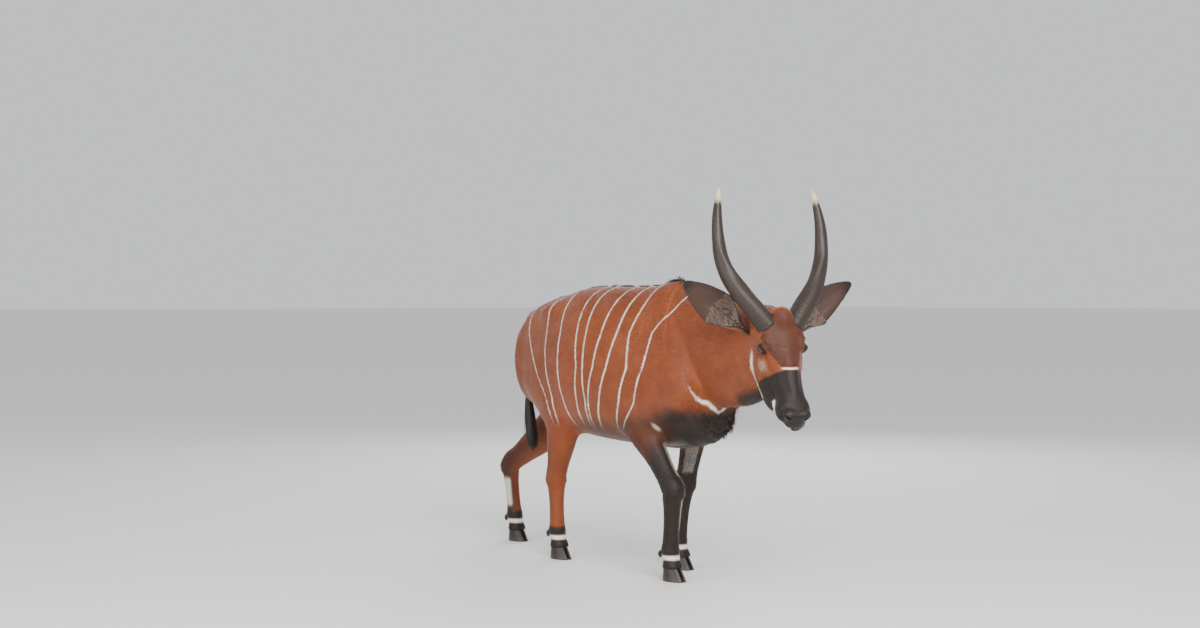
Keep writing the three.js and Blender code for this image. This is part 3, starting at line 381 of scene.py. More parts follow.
@dataclass(frozen=True)
class Leg:
    """Where a leg's joints are, as (x, z), how far out they stand, and the flesh on them."""

    name: str
    side: int
    fore: bool
    top: tuple[float, float]
    joint: tuple[float, float]
    fetlock: tuple[float, float]
    foot: tuple[float, float]
    out: tuple[float, float, float]

    def _between(self, start: int, sections: Rows) -> list[list[float]]:
        """Rows between two joints.

        Args:
            start: 0 from the top to the middle joint, 1 from there to the fetlock.
            sections: rows [share of the way, half width, front, back].

        Returns:
            Rows for a swept body.
        """
        a, b = (self.top, self.joint) if start == 0 else (self.joint, self.fetlock)
        y0, y1 = self.out[start], self.out[start + 1]
        return [
            [a[0] + (b[0] - a[0]) * t, (y0 + (y1 - y0) * t) * self.side, a[1] + (b[1] - a[1]) * t, half, *depth, 2]
            for t, half, *depth in sections
        ]

    def _lower(self) -> list[list[float]]:
        """Rows from below the knee or hock to the hoof."""
        sections = ((0.14, 41, 44, 47), (0.32, 34, 37, 42), (0.6, 31, 34, 39), (0.86, 33, 35, 40))
        x, slant, y = self.fetlock[0], self.foot[0] - self.fetlock[0], self.out[2] * self.side
        return [
            *self._between(1, sections),
            [x, y, self.fetlock[1], 38, 38, 45, 2],
            [x + 0.36 * slant, y, 92, 35, 33, 34, 2.2],
            [x + 0.62 * slant, y, CORONET, 42, 42, 38, 2.3],
            [x + 0.9 * slant, y, 20, 40, 42, 36, 2.3],
        ]

    def _dew_claws(self) -> Flesh:
        """The two small claws behind the fetlock."""
        (x, z), y = self.fetlock, self.out[2] * self.side
        return Flesh(Layer(Lump((x - 42, y + 19 * s, z - 16), (13, 11, 17), 0.5), 6) for s in (1, -1))

    def _foreleg(self) -> list[Layer]:
        """A foreleg's layers from the elbow down, in order."""
        sections = ((-0.06, 60, 62, 96), (0.22, 56, 63, 82), (0.5, 49, 57, 56), (0.78, 44, 50, 44))
        knee = [self.joint[0], self.out[1] * self.side, self.joint[1], 48, 53, 46, 2.3]
        elbow = Lump((self.top[0] - 62, self.out[0] * self.side, self.top[1] + 8), (34, 30, 42))
        return [Layer(elbow, 40), Layer(SweptBody([*self._between(0, sections), knee, *self._lower()]), 44)]

    def _hindleg(self) -> list[Layer]:
        """A hind leg's layers from the hip down, in order."""
        s, (sx, sz), (hx, hz) = self.side, self.top, self.joint
        at = [(HIP[0] + (sx - HIP[0]) * t, HIP[1] + (sz - HIP[1]) * t) for t in (0.42, 0.86)]
        thigh = [
            [HIP[0], 84 * s, HIP[1] + 40, 84, 120, 150, 2],
            [at[0][0], 126 * s, at[0][1], 96, 158, 182, 2.1],
            [at[1][0] - 26, 146 * s, at[1][1], 86, 108, 156, 2],
        ]
        sections = ((0, 78, 90, 116), (0.24, 70, 86, 108), (0.5, 59, 71, 86), (0.76, 47, 54, 64), (0.92, 42, 49, 56))
        hock = [hx, self.out[1] * s, hz - 10, 44, 51, 54, 2.3]
        lean = math.atan2(sx - hx, sz - hz)
        (up_x, up_z), (upward, behind) = (math.sin(lean), math.cos(lean)), (24, 34)
        heel = (hx + upward * up_x - behind * up_z, self.out[1] * s, hz + upward * up_z + behind * up_x)
        return [
            Layer(SweptBody(thigh), 56),
            Layer(Lump((-1000, 92 * s, 890), (92, 84, 176), -0.1), 56),
            Layer(SweptBody([*self._between(0, sections), hock, *self._lower()]), 50),
            Layer(Lump(heel, (19, 17, 50), lean), 26),
        ]

    def layers(self) -> list[Layer]:
        """The leg's layers, in order."""
        return [*(self._foreleg() if self.fore else self._hindleg()), Layer(self._dew_claws(), 10)]


LEGS = (
    Leg("foreleg_right", -1, True, (-152, 664), (44, 388), (26, 128), (40, 0), (146, 132, 128)),
    Leg("foreleg_left", 1, True, (-110, 684), (-162, 374), (-190, 128), (-172, 0), (150, 118, 110)),
    Leg("hindleg_right", -1, False, (-650, 712), (-766, 370), (-762, 130), (-742, 0), (158, 134, 130)),
    Leg("hindleg_left", 1, False, (-1030, 624), (-1395, 372), (-1350, 128), (-1326, 0), (134, 58, 54)),
)
SIDES = {"left": 1, "right": -1}

HEAD_AT = np.array([631.0, -68.0, 996.0])
HEAD_PITCH = math.radians(56)
HEAD_TURN = math.radians(-23)
HEAD = Frame(HEAD_AT, turn_z(HEAD_TURN) @ turn_y(HEAD_PITCH))
LEVEL_HEAD = Frame(HEAD_AT, turn_z(HEAD_TURN))
MUZZLE_END = 318.0
EYE_RADIUS = 21.0
EYE_PLACE = (-5.0, 80.0, -2.0)
EYE_FORWARD = math.radians(32)
CORONET = 58.0
HIP = (-920.0, 1010.0)


def from_eye(x: Array, y: Array, z: Array) -> Array:
    """How far places on the head's left half are from the eye's middle, in the head's frame."""
    return np.sqrt((x - EYE_PLACE[0]) ** 2 + (y - EYE_PLACE[1]) ** 2 + (z - EYE_PLACE[2]) ** 2)


class Anatomy:
    """The animal's flesh as one field, from the same sizes as the solids."""

    WITHERS = 1268.0
    CROUP = 1250.0
    BELLY = 560.0
    BARREL = 280.0
    NECK = 112.0
    SKULL = 90.0
    HEAD_TOP = 50.0
    COAT_DEPTH, THINNER = 3.2, 1.9  # the coat's depth on the body, and how much less it is on face and legs
    CHUNK = 60000  # points worked out at once

    def __init__(self) -> None:
        """Builds every region's shapes and joins them."""
        self.head = self._head()
        layers = [
            Layer(SweptBody(self._trunk_rows()), 10),
            Layer(SweptBody(self._neck_rows()), 50),
            *(Layer(Lump((-750, 140 * s, 1124), (80, 44, 40), 0.1), 80) for s in (1, -1)),
        ]
        for leg in LEGS:
            layers += [*(self._shoulder(leg.side) if leg.fore else ()), *leg.layers()]
        layers += [Layer(Placed(self.head, HEAD), 46), Layer(self._tail(), 16)]
        self.flesh = Flesh(layers)

    def _trunk_rows(self) -> list[list[float]]:
        """The trunk's sections, from rump to chest."""
        outline = (
            (-1120, 58, 1080, 900, 1000, 2),
            (-1050, 116, 1160, 790, 985, 2),
            (-920, 184, 1222, 676, 950, 2.1),
            (-780, 234, self.CROUP, 612, 905, 2.1),
            (-630, 268, self.CROUP + 4, 576, 875, 2.1),
            (-470, self.BARREL, self.CROUP + 2, self.BELLY, 860, 2.1),
            (-310, 272, self.CROUP, self.BELLY - 8, 855, 2.05),
            (-170, 246, self.CROUP + 4, self.BELLY - 12, 855, 1.95),
            (-50, 210, self.WITHERS - 2, self.BELLY - 12, 860, 1.85),
            (70, 170, 1240, self.BELLY + 12, 872, 1.85),
            (140, 122, 1160, 646, 896, 2),
            (200, 74, 1050, 748, 900, 2),
        )
        return [[x, 0, mid, half, back - mid, mid - belly, corner] for x, half, back, belly, mid, corner in outline]

    def _neck_rows(self) -> list[list[float]]:
        """The neck's sections, from the withers to the throat."""
        n = self.NECK
        return [
            [-60, 0, 1010, n + 30, 246, 250, 2],
            [120, 0, 996, n + 36, 232, 236, 2.1],
            [280, -4, 1004, n + 8, 196, 262, 2],
            [410, -12, 1030, n - 8, 150, 252, 2],
            [510, -26, 1050, n - 20, 112, 184, 2],
            [575, -44, 1036, n - 32, 88, 116, 2],
        ]

    def _shoulder(self, side: int) -> list[Layer]:
        """Shoulder blade, upper arm, triceps and breast of one side.

        Args:
            side: 1 for the left, -1 for the right.

        Returns:
            The layers in order.
        """
        blade = [
            [-78, 84 * side, 1176, 30, 52, 62, 2],
            [-18, 128 * side, 1030, 42, 84, 96, 2],
            [58, 148 * side, 900, 50, 92, 104, 2],
            [112, 146 * side, 800, 52, 74, 84, 2],
        ]
        arm = [
            [112, 144 * side, 806, 54, 66, 74, 2],
            [22, 146 * side, 742, 60, 66, 92, 2],
            [-66, 146 * side, 704, 56, 58, 84, 2],
        ]
        return [
            Layer(SweptBody(blade), 46),
            Layer(SweptBody(arm), 52),
            Layer(Lump((-66, 152 * side, 812), (104, 52, 128), 0.35), 46),
            Layer(Lump((86, 46 * side, 698), (68, 62, 102), 0.3), 50),
        ]

    def _head(self) -> Flesh:
        """The head in its own frame, x to the nose and z out of the forehead."""
        top = self.HEAD_TOP
        outline = (
            (-128, 58, 16, -92, 1.9),
            (-92, 78, 40, -130, 2),
            (-40, self.SKULL, top + 2, -160, 2.1),
            (16, 84, top - 2, -176, 2.1),
            (72, 72, top - 12, -177, 2.1),
            (136, 63, top - 25, -162, 2.1),
            (196, 58, top - 36, -134, 2.2),
            (246, 60, top - 44, -110, 2.3),
            (284, 56, top - 54, -100, 2.3),
            (MUZZLE_END - 20, 44, top - 66, -92, 2.2),
        )
        rows = []
        for x, half, above, under, corner in outline:
            mid = under + (above - under) * 0.56
            rows.append([x, 0, mid, half, above - mid, mid - under, corner])
        layers = [Layer(SweptBody(rows), 10)]
        for s in (1, -1):
            layers += [
                Layer(Lump((-18, 74 * s, 7), (44, 29, 36), 0, 0.12 * s), 26),  # brow and orbit
                Layer(Lump((36, 62 * s, -42), (74, 26, 26), 0, -0.16 * s), 26),  # cheek bone
                Layer(Lump((14, 57 * s, -116), (86, 35, 58), -0.2), 34),  # jaw muscle
                Layer(Lump((106, 49 * s, -124), (118, 30, 42), -0.2), 24),  # lower jaw
                Layer(Lump((-84, 52 * s, 34), (36, 36, 30)), 30),  # root of the horn
                Layer(Lump((-104, 72 * s, -22), (28, 28, 34)), 24),  # root of the ear
                Layer(Lump((256, 36 * s, -48), (44, 32, 38), 0.12), 18),  # upper lip
                Layer(Lump((292, 32 * s, -18), (22, 24, 19)), 12),  # rim of the nostril
                Layer(Lump((150, 52 * s, -82), (90, 14, 18), 0.1), 20),  # cheek above the mouth
            ]
        layers += [
            Layer(Lump((-106, 0, 62), (48, 44, 42)), 26),  # crown between the horns
            Layer(Lump((298, 0, -28), (19, 38, 26)), 14),  # bare nose
            Layer(Lump((248, 0, -94), (42, 42, 20), 0.16), 12),  # lower lip and chin
            Layer(Lump((132, 0, 20), (110, 22, 12), 0.19), 22),  # ridge of the nose
        ]
        for s in (1, -1):
            layers += [
                Layer(Lump((42, 94 * s, -10), (26, 14, 16), 0, -0.2 * s), 14, True),  # before the eye
                Layer(Lump((124, 84 * s, -26), (80, 20, 22), 0.1), 22, True),  # side of the nose
            ]
        return Flesh(layers)

    TAIL_SPINE = (
        (-1096, 0, 1090, 29),
        (-1136, -6, 1040, 26),
        (-1150, -14, 940, 22),
        (-1142, -24, 830, 18),
        (-1120, -32, 730, 15),
        (-1100, -36, 640, 13),
    )

    def _tail(self) -> SweptBody:
        """The tail's stem."""
        return SweptBody([[x, y, z, r, r, r, 2] for x, y, z, r in self.TAIL_SPINE])

    def coat_depth(self, p: Array) -> Array:
        """How far the skin lies inside the solids, so that the coat ends at their surface.

        Args:
            p: points.

        Returns:
            One depth a point.
        """
        local = HEAD.into(p)
        on_face = ramp(-150, -20, local[:, 0]) * ramp(560, 640, p[:, 0] + 0.35 * p[:, 2] - 250)
        on_leg = ramp(620, 420, p[:, 2])
        return self.COAT_DEPTH - self.THINNER * np.maximum(on_face, on_leg)

    def skin(self, p: Array) -> Array:
        """The skin's distance: the flesh less the coat's depth, cut off at the coronets.

        Args:
            p: points.

        Returns:
            Their distances.
        """
        out = np.empty(len(p))
        for start in range(0, len(p), self.CHUNK):
            q = p[start : start + self.CHUNK]
            d = self.flesh.distance(q) + self.coat_depth(q)
            out[start : start + self.CHUNK] = np.maximum(d, CORONET - 1 - q[:, 2])
        return out


@dataclass
class Mesh3:
    """Points and triangles that are still plain arrays."""

    points: Array
    triangles: Array

    def corners(self) -> tuple[Array, ...]:
        """The triangles' first, second and third points."""
        return tuple(self.points[self.triangles[:, n]] for n in range(3))

    def edges(self) -> tuple[Array, Array]:
        """Every edge once, and each triangle's three edges as numbers of them."""
        pairs = np.sort(self.triangles[:, [[0, 1], [1, 2], [2, 0]]].reshape(-1, 2), axis=1)
        key = pairs[:, 0].astype(np.int64) * len(self.points) + pairs[:, 1]
        _, first, back = np.unique(key, return_index=True, return_inverse=True)
        return pairs[first], back.reshape(-1, 3)

    def normals(self) -> Array:
        """Unit normals at the points, by area."""
        a, b, c = self.corners()
        face = np.cross(b - a, c - a)
        total = np.zeros_like(self.points)
        for n, axis in product(range(3), repeat=2):
            total[:, axis] += np.bincount(self.triangles[:, n], face[:, axis], len(self.points))
        return unit(total)


class SkinSurface:
    """Turns the anatomy's field into one closed mesh that is finer where the form is finer."""

    CELL = 10.0
    COARSE = 4  # fine cells along each coarse one
    BAND = 52.0  # coarse cells further than this from the skin are left out
    LOW, HIGH = np.array([-1512.0, -340.0, 12.0]), np.array([884.0, 340.0, 1332.0])
    PROBE = 0.5  # how far off the field is read for its slope
    LEAST_SLOPE = 0.25  # of the slope's square, so that no step gets too long
    PASSES = 3
    # the longest edge on body, lower leg, head, muzzle and round the eye
    BODY_EDGE, LEG_EDGE, HEAD_EDGE, MUZZLE_EDGE, EYE_EDGE = 17.0, 8.0, 7.0, 3.6, 2.2
    # how a triangle is cut when its first one, two or three edges are halved: 0 to 2 are its corners, 3 to 5 its edges'
    CUTS = {
        1: ((0, 3, 2), (3, 1, 2)),
        2: ((3, 1, 4), (0, 3, 4), (0, 4, 2)),
        3: ((0, 3, 5), (3, 1, 4), (5, 4, 2), (3, 4, 5)),
    }

    def __init__(self, anatomy: Anatomy) -> None:
        """Keeps the field and the grid's size."""
        self.anatomy = anatomy
        self.cells = np.ceil((self.HIGH - self.LOW) / (self.CELL * self.COARSE)).astype(int) * self.COARSE

    def _values(self) -> Array:
        """The field at every node of the fine grid, exact near the skin."""
        k, coarse = self.COARSE, self.cells // self.COARSE
        index = np.stack(np.meshgrid(*(np.arange(n + 1) for n in coarse), indexing="ij"), -1)
        rough = self.anatomy.skin(self.LOW + index.reshape(-1, 3) * (self.CELL * k)).reshape(index.shape[:3])
        near = np.abs(rough) < self.BAND
        cell = np.any([near[block(at, coarse)] for at in CORNERS], axis=0)
        fine = cell.repeat(k, 0).repeat(k, 1).repeat(k, 2)
        wanted = np.zeros(tuple(self.cells + 1), bool)
        for at in CORNERS:
            wanted[block(at, fine.shape)] |= fine
        values = rough[np.ix_(*(np.rint(np.arange(n + 1) / k).astype(int) for n in self.cells))]
        values[wanted] = self.anatomy.skin(self.LOW + np.argwhere(wanted) * self.CELL)
        return values

    @staticmethod
    def _quads(inside: Array, number: Array, axis: int) -> Array:
        """The four cells round each crossed edge along one axis.

        Args:
            inside: whether each node of the grid is in the flesh.
            number: each cell's point.
            axis: 0 to 2.

        Returns:
            Rows of four points that face out.
        """
        sides = [(axis + 1) % 3, (axis + 2) % 3]
        behind, ahead = [slice(None)] * 3, [slice(None)] * 3
        behind[axis], ahead[axis] = slice(0, -1), slice(1, None)
        start, end = inside[tuple(behind)], inside[tuple(ahead)]
        where = np.argwhere(start != end)
        room = np.array(start.shape)[sides] - 1
        where = where[((where[:, sides] > 0) & (where[:, sides] < room)).all(1)]
        ring = []
        for back in ((1, 1), (0, 1), (0, 0), (1, 0)):
            cell = where.copy()
            cell[:, sides] -= back
            ring.append(number[tuple(cell.T)])
        quad = np.stack(ring, 1)
        return np.where(start[tuple(where.T)][:, None], quad, quad[:, ::-1])

    def _net(self, values: Array) -> Mesh3:
        """One point in each cell that the skin crosses, joined across the crossed edges.

        Args:
            values: the field at the grid's nodes.

        Returns:
            A closed mesh.
        """
        corner = {at: values[block(at, self.cells)] for at in CORNERS}
        inside = sum((v < 0).astype(np.int8) for v in corner.values())
        active = (inside > 0) & (inside < len(CORNERS))
        number = np.full(active.shape, -1)
        number[active] = np.arange(active.sum())
        at = np.argwhere(active)
        total, count = np.zeros((len(at), 3)), np.zeros(len(at))
        for axis, b, c in product(range(3), (0, 1), (0, 1)):
            start = [0, 0, 0]
            start[(axis + 1) % 3], start[(axis + 2) % 3] = b, c
            end = list(start)
            end[axis] = 1
            p, q = corner[tuple(start)][active], corner[tuple(end)][active]
            crossed = (p < 0) != (q < 0)
            here = np.tile(np.array(start, float), (len(at), 1))
            here[:, axis] = np.where(crossed, p / np.where(crossed, p - q, 1), 0)
            total += here * crossed[:, None]
            count += crossed
        points = self.LOW + self.CELL * (at + total / count[:, None])
        quad = np.vstack([self._quads(values < 0, number, axis) for axis in range(3)])
        first, second = (np.linalg.norm(points[quad[:, n]] - points[quad[:, n + 2]], axis=1) for n in (0, 1))
        one = (first < second)[:, None]
        cuts = (((0, 1, 2), (0, 1, 3)), ((0, 2, 3), (1, 2, 3)))
        return Mesh3(points, np.vstack([np.where(one, quad[:, a], quad[:, b]) for a, b in cuts]))

    def _settle(self, p: Array, turns: int) -> Array:
        """Moves points onto the skin.

        Args:
            p: points near it.
            turns: how many steps.

        Returns:
            The moved points.
        """
        for _ in range(turns):
            here = self.anatomy.skin(p)
            probes = [self.anatomy.skin(p + self.PROBE * axis) for axis in np.eye(3)]
            slope = np.stack([(there - here) / self.PROBE for there in probes], 1)
            steep = np.maximum(np.sum(slope**2, axis=1), self.LEAST_SLOPE)
            step = (here / steep)[:, None] * slope
            length = np.linalg.norm(step, axis=1, keepdims=True)
            p = p - step * np.minimum(1, self.CELL / np.maximum(length, 1e-6))
        return p

    def _edge_limit(self, p: Array) -> Array:
        """The longest edge that is wanted at a place.

        Args:
            p: points.

        Returns:
            One length a point.
        """
        x, y, z = HEAD.into(p).T
        y = np.abs(y)
        in_head = (x > -150) & (x < 360) & (y < 150) & (z > -230) & (z < 120)
        limit = np.where(in_head, self.HEAD_EDGE, np.where(p[:, 2] < 440, self.LEG_EDGE, self.BODY_EDGE))
        limit = np.where(in_head & (x > 176) & (z < 4), self.MUZZLE_EDGE, limit)
        return np.where(in_head & (from_eye(x, y, z) < 40), self.EYE_EDGE, limit)

    def _split(self, mesh: Mesh3) -> tuple[Mesh3, int]:
        """Halves every edge that is too long and mends the triangles round it.

        Args:
            mesh: the mesh so far.

        Returns:
            The finer mesh, and how many points are new.
        """
        edges, of_triangle = mesh.edges()
        start, end = mesh.points[edges[:, 0]], mesh.points[edges[:, 1]]
        middle = (start + end) / 2
        marked = np.linalg.norm(start - end, axis=1) > self._edge_limit(middle)
        new = np.full(len(edges), -1)
        new[marked] = len(mesh.points) + np.arange(marked.sum())
        both = np.hstack([mesh.triangles, new[of_triangle]])
        halved = both[:, 3:] >= 0
        kind = halved.sum(1)
        made = [mesh.triangles[kind == 0]]
        for turn in range(3):
            order = [(turn + n) % 3 for n in range(3)]
            turned, flags = both[:, order + [n + 3 for n in order]], halved[:, order]
            for count in (1, 2):
                hit = turned[(kind == count) & flags[:, :count].all(1)]
                made += [hit[:, cut] for cut in self.CUTS[count]]
        made += [both[kind == 3][:, cut] for cut in self.CUTS[3]]
        return Mesh3(np.vstack([mesh.points, middle[marked]]), np.vstack(made)), int(marked.sum())

    def _relax(self, mesh: Mesh3, share: float) -> None:
        """Evens out the mesh along the surface.

        Args:
            mesh: the mesh, which is changed.
            share: how far points go towards their neighbours' middle.
        """
        edges, _ = mesh.edges()
        count = np.bincount(edges.ravel(), minlength=len(mesh.points))
        mean = np.zeros_like(mesh.points)
        for axis, (here, there) in product(range(3), ((0, 1), (1, 0))):
            mean[:, axis] += np.bincount(edges[:, here], mesh.points[edges[:, there], axis], len(mesh.points))
        move = mean / count[:, None] - mesh.points
        normal = mesh.normals()
        move -= np.sum(move * normal, axis=1, keepdims=True) * normal
        mesh.points = mesh.points + share * move

    @staticmethod
    def _largest(mesh: Mesh3) -> Mesh3:
        """Keeps the biggest connected part.

        Args:
            mesh: any mesh.

        Returns:
            That part alone.
        """
        edges, _ = mesh.edges()
        label, settled = np.arange(len(mesh.points)), False
        while not settled:
            new = label.copy()
            low = np.minimum(label[edges[:, 0]], label[edges[:, 1]])
            for end in (0, 1):
                np.minimum.at(new, edges[:, end], low)
            new = new[new]
            settled = (new == label).all()
            label = new
        keep = label == np.bincount(label).argmax()
        number = np.cumsum(keep) - 1
        return Mesh3(mesh.points[keep], number[mesh.triangles[keep[mesh.triangles[:, 0]]]])

    def build(self) -> Mesh3:
        """The skin's mesh, without the small details of the face."""
        mesh = self._largest(self._net(self._values()))
        log.info("skin net: %d points", len(mesh.points))
        mesh.points = self._settle(mesh.points, 2)
        for _ in range(self.PASSES):
            before = len(mesh.points)
            mesh, added = self._split(mesh)
            if not added:
                break
            self._relax(mesh, 0.4)
            fresh = np.arange(len(mesh.points)) >= before
            mesh.points[fresh] = self._settle(mesh.points[fresh], 1)
        self._relax(mesh, 0.5)
        mesh.points = self._settle(mesh.points, 2)
        log.info("skin: %d points, %d triangles", len(mesh.points), len(mesh.triangles))
        return mesh


@dataclass(frozen=True)
class EyeSeat:
    """Where an eye sits in the head's frame, and the outline of the opening between its lids."""

    side: int
    half_long: float = 20.0
    rise: float = 14.0
    fall: float = 13.0
    slant: float = 0.13

    @property
    def centre(self) -> Array:
        """The eyeball's middle."""
        return np.array([EYE_PLACE[0], EYE_PLACE[1] * self.side, EYE_PLACE[2]])

    @property
    def axes(self) -> Array:
        """Rows: along the opening towards the nose, up, and out of the eye."""
        s = self.side
        along = np.array([math.cos(EYE_FORWARD), -s * math.sin(EYE_FORWARD), 0])
        out = np.array([math.sin(EYE_FORWARD), s * math.cos(EYE_FORWARD), 0])
        return np.array([along, [0, 0, 1], out])

    def outside(self, u: Array, w: Array) -> Array:
        """How far points are outside the opening.

        Args:
            u: places along it.
            w: places up from its middle.

        Returns:
            Distances, below 0 inside.
        """
        share = np.clip(u / self.half_long, -1.3, 1.3)
        bow = np.maximum(1 - share**2, 0) ** 0.8
        middle = -self.slant * u - 0.4
        upper, lower = middle + self.rise * bow, middle - self.fall * bow
        return np.maximum(np.maximum(w - upper, lower - w) * 0.9, np.abs(u) - self.half_long)


class FaceDetail:
    """Cuts the eyelids, nostrils and the line of the mouth into the skin of the head."""

    MOUTH = ((196.0, -66.0), (226.0, -73.0), (258.0, -76.0), (288.0, -72.0), (348.0, -62.0))
    LID = 2.6  # how far the lids stand off the eyeball
    LID_BLEND = (4.0, 15.0)
    NOSTRIL_DEPTH = 13.0

    def apply(self, mesh: Mesh3) -> None:
        """Moves the points of the face.

        Args:
            mesh: the skin, which is changed.
        """
        local = HEAD.into(mesh.points)
        face = (local[:, 0] > -60) & (np.abs(local[:, 1]) < 130) & (local[:, 2] > -160) & (local[:, 2] < 90)
        normal = mesh.normals()[face] @ HEAD.axes
        p = local[face]
        p = self._mouth(p, normal)
        for side in (1, -1):
            p = self._nostril(p, side)
            p = self._lids(p, EyeSeat(side))
        mesh.points[face] = HEAD.out(p)

    def _mouth(self, p: Array, normal: Array) -> Array:
        """The line of the mouth, with a soft lip on each side of it, and the groove of the nose.

        Args:
            p: points in its frame.
            normal: their normals.

        Returns:
            The moved points.
        """
        xs, zs = zip(*self.MOUTH)
        off = p[:, 2] - np.interp(p[:, 0], xs, zs)
        start = ramp(192, 212, p[:, 0])
        lips = 1.5 * (hump(7, 4.5, off) + hump(-7, 4.5, off)) - 4.6 * hump(0, 1.9, off)
        pad = ramp(296, 306, p[:, 0]) * ramp(-66, -56, p[:, 2]) * ramp(4, -8, p[:, 2])
        groove = -1.8 * hump(0, 1.8, p[:, 1]) * pad
        return p + normal * (start * lips + groove)[:, None]

    def _nostril(self, p: Array, side: int) -> Array:
        """One comma-shaped nostril with a raised rim.

        Args:
            p: points in its frame.
            side: 1 for the left.

        Returns:
            The moved points.
        """
        centre = np.array([306.0, 35.0 * side, -17.0])
        back = unit(np.array([-0.62, 0.75 * side, 0.2]))
        face = unit(np.array([0.78, 0.62 * side, 0.12]))
        up = np.cross(back, face)
        up *= np.sign(up[2])
        q = p - centre
        a, b = q @ back, q @ up
        b = b - 0.016 * a * a + 2.0
        r = np.hypot(a / 16.5, b / (7.0 + 0.1 * np.clip(-a, -20, 20)))
        near = (np.abs(q @ face) < 22) & (p[:, 1] * side > 4)
        hole = self.NOSTRIL_DEPTH * ramp(1.05, 0.5, r) * near
        rim = 1.7 * hump(1.32, 0.26, r) * near
        inwards = unit(np.array([-0.93, -0.3 * side, -0.1]))
        return p + hole[:, None] * inwards + rim[:, None] * face

    def _lids(self, p: Array, seat: EyeSeat) -> Array:
        """Both lids of one eye: a rim round the opening, with a fold above it.

        Args:
            p: points in its frame.
            seat: where the eye sits.

        Returns:
            The moved points.
        """
        q = p - seat.centre
        rho = np.linalg.norm(q, axis=1)
        direction = q / np.maximum(rho, 1e-6)[:, None]
        along, up, out = (direction @ seat.axes.T).T
        off = seat.outside(along * (EYE_RADIUS + 1), up * (EYE_RADIUS + 1))
        near = (rho < 60) & (out > 0.0)
        lid = EYE_RADIUS + self.LID - 0.9 * hump(6.5, 1.6, off) * (up > 0.1) - 0.6 * hump(5.5, 1.5, off) * (up < -0.1)
        new = lid + (rho - lid) * ramp(*self.LID_BLEND, off)
        new = EYE_RADIUS - 2.5 + (new - EYE_RADIUS + 2.5) * ramp(-0.7, 0.8, off)
        return np.where(near[:, None], seat.centre + direction * new[:, None], p)


